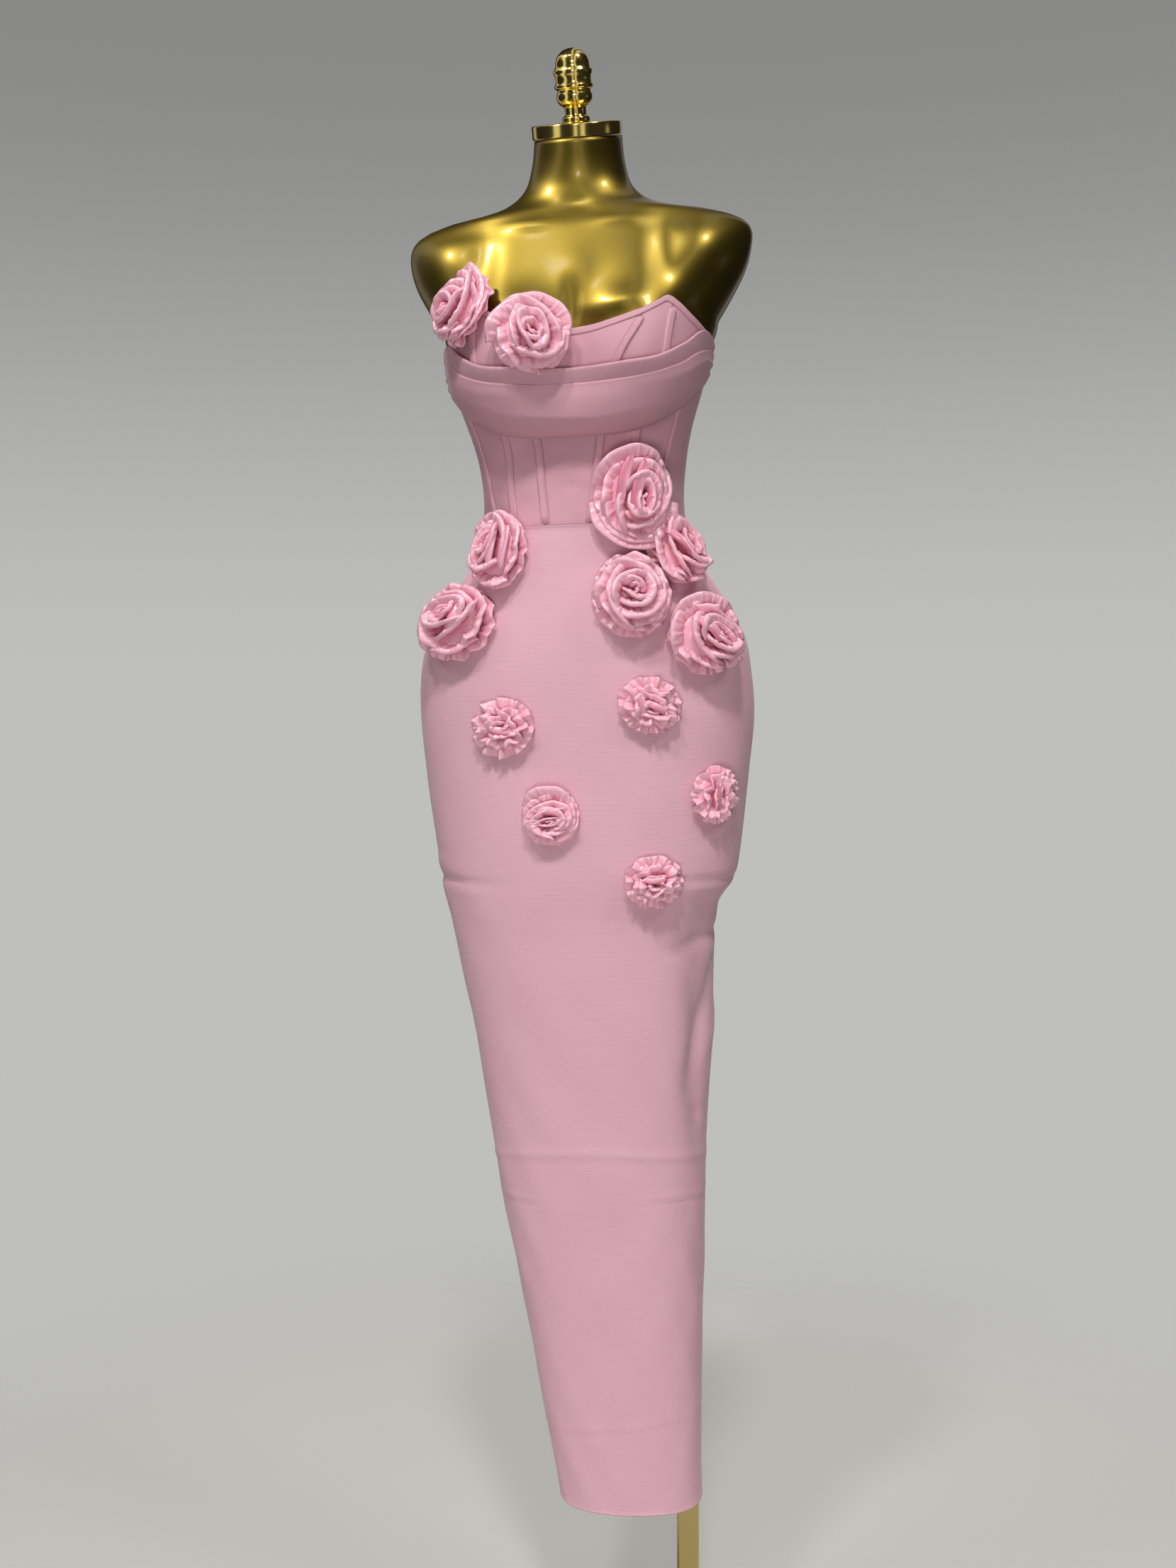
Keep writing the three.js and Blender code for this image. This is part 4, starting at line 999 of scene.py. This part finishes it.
# degrees and height; radius, rise and lift; half sizes across and up as shares of the radius;
# heart: how oval, which way and off the middle; plan and seed; wide outer petals: direction,
# edge, top; bands laid across: three points across, up and high, then the width
roses = [
    ("bust_right", (-42.6, 1426), (34, 34, 2.4), (1.0, 1.12), (1.35, 50, -0.05, -0.16), fullRose,
     11, [(22, 1.02, 0.5), (-50, 0.98, 0.46)], []),
    ("bust_centre", (-14, 1390), (31, 36, 2.6), (1.24, 1.16), (1.6, 112, -0.06, -0.08), fullRose,
     12, [(60, 1.04, 0.66), (115, 1.06, 0.62)], []),
    ("waist_left", (29, 1246), (38, 36, 3.0), (1.08, 1.18), (1.3, 65, 0.1, -0.2), fullRose, 13,
     [(100, 1.0, 0.6), (-82, 1.14, 0.5), (-98, 1.24, 0.36)],
     [((0.3, 0.72, 0.62), (-0.18, 0.28, 1.16), (-0.2, -0.5, 0.78), 11),
     ((-0.1, 0.78, 0.55), (-0.52, 0.3, 1.0), (-0.5, -0.42, 0.66), 10),
     ((0.62, 0.5, 0.6), (0.42, 0.1, 1.1), (0.1, -0.36, 0.84), 10),
     ((-0.42, -0.44, 0.66), (0.05, -0.7, 0.86), (0.66, -0.34, 0.62), 9)]),
    ("hip_left_upper", (49, 1187), (29, 34, 1.2), (1.18, 1.2), (1.8, 122, 0.14, 0.06), fullRose,
     14, [(200, 1.0, 0.6)], [((-0.6, 0.5, 0.62), (-0.35, 0.1, 1.02), (0.15, -0.35, 0.8), 9)]),
    ("hip_left_inner", (19, 1146), (36, 38, 0.8), (1.13, 1.18), (1.15, 150, -0.03, 0.06),
     fullRose, 15, [], []),
    ("hip_left_outer", (44.5, 1107), (38, 38, 0.8), (1.05, 1.03), (1.5, 140, 0.24, -0.14),
     fullRose, 16, [(85, 1.02, 0.66), (140, 1.0, 0.6)],
     [((-0.5, 0.35, 0.6), (-0.15, 0.2, 1.06), (0.1, -0.3, 0.84), 11)]),
    ("hip_right_upper", (-37.5, 1191), (36, 34, 2.6), (0.88, 1.06), (1.5, 55, -0.14, 0.1),
     fullRose, 17, [(95, 1.0, 0.6)],
     [((0.1, 0.66, 0.7), (0.3, 0.12, 1.08), (0.02, -0.5, 0.76), 10),
     ((0.5, 0.6, 0.6), (0.62, 0.05, 0.92), (0.36, -0.55, 0.6), 9)]),
    ("hip_right_outer", (-46, 1121), (38, 38, 0.8), (1.12, 1.04), (1.7, 30, 0.02, 0.12), fullRose,
     18, [(150, 1.0, 0.62)], [((0.44, 0.62, 0.62), (0.46, 0.1, 1.0), (0.16, -0.42, 0.8), 9)]),
    ("thigh_right", (-23, 1020), (34, 18, 0.8), (1.0, 0.94), (1.25, 10, 0.0, 0.08), flatRose, 19,
     [], [((-0.42, 0.1, 0.6), (0.0, -0.14, 1.12), (0.4, -0.06, 0.66), 9)]),
    ("knee_right", (-7.6, 935), (30, 18, 0.8), (0.93, 1.04), (1.8, 8, -0.04, -0.2), fullRose, 20,
     [(90, 1.0, 0.7)], [((-0.5, 0.1, 0.7), (0.0, 0.34, 1.16), (0.5, 0.02, 0.7), 8)]),
    ("thigh_left", (21.3, 1042), (33, 18, 0.8), (1.0, 0.92), (1.4, 150, 0.05, -0.1), flatRose, 21,
     [], [((-0.34, 0.42, 0.7), (-0.22, 0.0, 1.16), (-0.3, -0.4, 0.7), 8),
     ((-0.2, 0.1, 0.8), (0.2, -0.05, 1.16), (0.5, -0.3, 0.7), 8)]),
    ("side_left", (50, 953), (30, 18, 0.8), (1.04, 0.98), (1.6, 80, 0.1, 0.0), flatRose, 22, [],
     [((-0.16, 0.5, 0.7), (-0.1, 0.0, 1.14), (-0.05, -0.5, 0.7), 7)]),
    ("knee_left", (24.2, 870), (32, 18, 0.8), (0.98, 0.9), (1.4, 20, 0.0, 0.0), flatRose, 23, [],
     [((-0.4, 0.16, 0.75), (0.0, 0.12, 1.12), (0.34, 0.2, 0.75), 7)]),
]


def clothFrame(degrees, height):
    # The dress's tangent plane at a place: its middle, its two directions and its normal.
    angle, step = math.radians(degrees), 1e-3
    middle = dressPoint(angle, height)
    alongAngle = (dressPoint(angle + step, height) - middle) / step
    alongHeight = dressPoint(angle, height + 1) - middle
    u = alongAngle / np.linalg.norm(alongAngle)
    v = alongHeight - u * (alongHeight @ u)
    v = v / np.linalg.norm(v)
    return angle, middle, u, v, np.cross(u, v), np.linalg.norm(alongAngle)


def besides(degrees, height, across, up):
    start, middle, u, v, n, reach = clothFrame(degrees, height)
    angle, z = np.full(np.shape(across), start), np.full(np.shape(across), float(height))
    for _ in range(12):
        off = dressPoint(angle, z) - middle
        angle = angle + 0.7 * (across - off @ u) / reach
        z = z + 0.7 * (up - off @ v)
    plane = middle + across[:, None] * u + up[:, None] * v
    return dressPoint(angle, z), plane, n


def petalPoints(petal, radius, rise, s, w):
    # s runs along the strip; w goes from its inner foot over the folded edge to its outer foot.
    u = 2 * s - 1
    turn = petal["middle"] + petal["half"] * u
    deep, side = np.abs(w), np.sign(w)
    phase, closed = petal["phase"], petal["closed"]
    often, sideways, upward = petal["frill"]
    wave = turn * often + 0.7 * np.sin(turn * 2 + phase[0])
    strong = 0.75 + 0.35 * np.sin(turn * 3 + phase[1])
    quick = 0.35 * np.sin(turn * (often * 2 + 1) + phase[2])
    edge = petal["edge"]
    if not closed:  # the ends of an open strip draw in and dip
        chord = 1 / np.cos(petal["flat"] * petal["half"] * u)
        drawnIn = 1 - 0.12 * smooth(-u, 0.55, 1) - 0.09 * smooth(u, 0.65, 1)
        edge = edge * chord * (1 + 0.07 * u) * drawnIn
    edge = edge + sideways * (np.sin(wave + phase[3]) * strong + quick) * (1 - 0.5 * deep)
    edge = edge + 0.02 * np.sin(turn * 2 + phase[4])
    top = petal["top"] + upward * (np.cos(wave + phase[5]) * strong + quick) * (1 - 0.7 * deep)
    top = top + 0.03 * np.sin(turn * 2 + phase[6])
    if not closed:
        top = top - 0.2 * smooth(-u, 0.4, 1) - 0.2 * smooth(u, 0.6, 1)
    reach, drop = petal["reach"], petal["drop"]
    out = (edge - reach * (deep + 0.12 * np.sin(math.pi * deep))) * radius
    high = (top - drop * deep**1.35) * rise
    dr = reach * (1 + 0.38 * np.cos(math.pi * deep)) * radius
    dh = drop * 1.35 * np.maximum(deep, 0.02) ** 0.35 * rise
    length = np.hypot(dr, dh)
    # round puffs with sharp creases between them
    gather = 1 - 2 * np.abs(np.sin(turn * petal["gathers"] / 2 + deep + phase[7]))
    gather = gather + 0.6 * np.sin(turn * round(petal["gathers"] * 1.7) - 3 * deep + phase[8])
    gather = petal["pucker"] * gather * (0.25 + 0.75 * np.sin(math.pi * np.minimum(deep, 0.75)))
    ends = 1 if closed else np.sqrt(np.clip(np.minimum(s, 1 - s) * 12, 0, 1))
    half = np.sqrt(np.clip(deep * 9, 0, 1)) * (petal["puff"] + 0.5 * np.sin(math.pi * deep))
    half = half * np.sqrt(np.clip((1 - deep) * 6, 0, 1)) * ends
    lift = side * half - gather
    return turn, out + lift * dh / length, high - lift * dr / length


def bandPoints(band, radius, rise, s, w):
    # A flattened tube of cloth along a bent line of three points.
    a, b, c = (np.array(point) for point in band[:3])
    t = s[:, None]
    line = a * (1 - t) ** 2 + 2 * b * t * (1 - t) + c * t * t
    way = 2 * (b - a) * (1 - t) + 2 * (c - b) * t
    across, up = way[:, 0], way[:, 1]
    flat = np.hypot(across, up)
    ends = np.sqrt(np.clip(np.minimum(s, 1 - s) * 9, 0, 1))
    wide = band[3] / 2 * (0.75 + 0.25 * np.sin(math.pi * s)) * ends
    round_ = w * math.pi
    aside = wide * signedPower(np.cos(round_), 0.8)
    thick = 2.2 * ends * signedPower(np.sin(round_), 0.8)
    thick = thick - 0.9 * (aside / np.maximum(wide, 1e-6)) * ends
    x = line[:, 0] * radius - aside * up / flat
    y = line[:, 1] * radius + aside * across / flat
    return x, y, line[:, 2] * rise + thick


def petalsOf(rose, chance):
    # Every strip of a rose, from its heart out.
    def phases():
        return [chance.uniform(0, 6.3) for _ in range(9)]

    start = chance.uniform(0, 6.3)
    for ring in rose["plan"]:
        count = ring["count"]
        start = start + chance.uniform(0.5, 1.4)
        for number in range(max(1, count)):
            petal = dict(ring, closed=count == 0, pucker=0.55)
            petal["puff"] = ring["puff"] * rose["size"][0] / 36
            petal["middle"] = start + 2 * math.pi * number / max(1, count)
            petal["phase"] = phases()
            petal["gathers"] = max(2, round(ring["edge"] * rose["size"][0] / 1.35))
            if count > 1:
                petal["middle"] += chance.uniform(-0.2, 0.2)
                for name, least, most in (("half", 0.85, 1.12), ("edge", 0.93, 1.07),
                                          ("top", 0.94, 1.04), ("flat", 0.6, 1.1)):
                    petal[name] *= chance.uniform(least, most)
            yield petal
    for direction, edge, top in rose["wide"]:
        yield {"middle": math.radians(direction), "half": 1.25, "edge": edge, "top": top,
               "reach": 0.5, "drop": top - 0.12, "flat": 0.3, "closed": False, "puff": 1.6,
               "pucker": 0.6, "gathers": edge * rose["size"][0] / 1.3, "frill": (4, 0.02, 0.03),
               "phase": phases()}


def addRose(rose):
    chance = random.Random(rose["seed"])
    radius, rise, lift = rose["size"]
    oval, turned, offX, offY = rose["heart"]
    lean = math.radians(turned)
    made = bmesh.new()
    made.loops.layers.uv.new("cloth")
    over = np.concatenate([np.linspace(-1, -0.16, 9), np.linspace(-0.11, 0.11, 7),
                           np.linspace(0.16, 1, 9)])

    def onCloth(across, up, high):
        across, up = across * rose["spread"][0], up * rose["spread"][1]
        cloth, plane, n = besides(*rose["at"], across, up)
        follow = np.clip(0.92 - 0.35 * high / rise, 0, 1)[:, None]
        return plane * (1 - follow) + cloth * follow + n * (high + lift)[:, None]

    def addStrip(along, around, length, place):
        bm = gridPiece(along, around, place, lambda s, w: (s * length, w * 20))
        bmesh.ops.remove_doubles(bm, verts=bm.verts, dist=0.002 * mm)
        bmesh.ops.recalc_face_normals(bm, faces=bm.faces)
        strip = bpy.data.meshes.new("strip")
        bm.to_mesh(strip)
        bm.free()
        made.from_mesh(strip)
        bpy.data.meshes.remove(strip)

    def placeCore(s, w):  # a plain cushion under the strips
        deep = (w + 1) / 2 * math.pi
        out = 0.7 * radius * np.sin(deep)
        return onCloth(out * np.cos(2 * math.pi * s), out * np.sin(2 * math.pi * s),
                       rise * (0.3 + 0.28 * np.cos(deep)))

    for petal in petalsOf(rose, chance):
        inner = max(0.0, 1 - petal["edge"])  # the heart is the most oval

        def placePetal(s, w):
            turn, out, high = petalPoints(petal, radius, rise, s, w)
            stretch = 1 + (oval - 1) * inner
            a, b = out * np.cos(turn - lean) * stretch, out * np.sin(turn - lean) / stretch
            across = a * math.cos(lean) - b * math.sin(lean) + offX * radius * inner**0.7
            up = a * math.sin(lean) + b * math.cos(lean) + offY * radius * inner**0.7
            return onCloth(across, up, high)

        length = 2 * petal["half"] * petal["edge"] * radius
        addStrip(np.linspace(0, 1, int(max(30, length / 1.2))), over, length, placePetal)

    addStrip(np.linspace(0, 1, 40), np.linspace(-1, 1, 15), radius, placeCore)
    for band in rose["bands"]:
        addStrip(np.linspace(0, 1, 36), np.linspace(-1, 1, 21), radius,
                 lambda s, w: onCloth(*bandPoints(band, radius, rise, s, w)))
    area = areaOf(made)
    name = "rose" + rose["node"].title().replace("_", "")
    piece = asObject(name, made, roseSatin, "rose_" + rose["node"])


for row in roses:
    addRose(dict(zip(roseColumns, row)))
print("stage: roses")

# The zip in the back seam; its slider and pull keep their CAD shapes.
zipLine = {"low": 1035, "high": 1351.7, "width": 6.4, "pitch": 1.7, "tooth": (2.6, 1.4, 0.9),
           "thickness": 0.5}


def addZip():
    bm = bmesh.new()
    size = Matrix.Diagonal((*(side * mm for side in zipLine["tooth"]), 1))
    for side in (-1, 1):
        first = zipLine["low"] + (zipLine["pitch"] / 2 if side > 0 else 0)
        for z in np.arange(first, zipLine["high"], zipLine["pitch"]):
            y = dressPoint(math.pi, z, 0.9)[1] + 0.6
            place = Matrix.Translation(Vector((side * 1.1, y, z)) * mm)
            bmesh.ops.create_cube(bm, size=1, matrix=place @ size)
    bm.loops.layers.uv.new("cloth")
    teeth = asObject("zipTeeth", bm, stitchThread)

    def place(x, z):
        y = dressPoint(np.full(np.shape(z), math.pi), z, 0.75)[:, 1]
        return np.stack([x, y, z], axis=-1)

    across = np.linspace(zipLine["width"] / 2, -zipLine["width"] / 2, 7)
    bm = gridPiece(across, stops(zipLine["low"], zipLine["high"], 4, ()), place)
    tape, _ = clothPiece("zipTape", bm, bodiceCrepe, "zip_chain",
                         zipLine["thickness"])


addZip()
print("stage: zip")
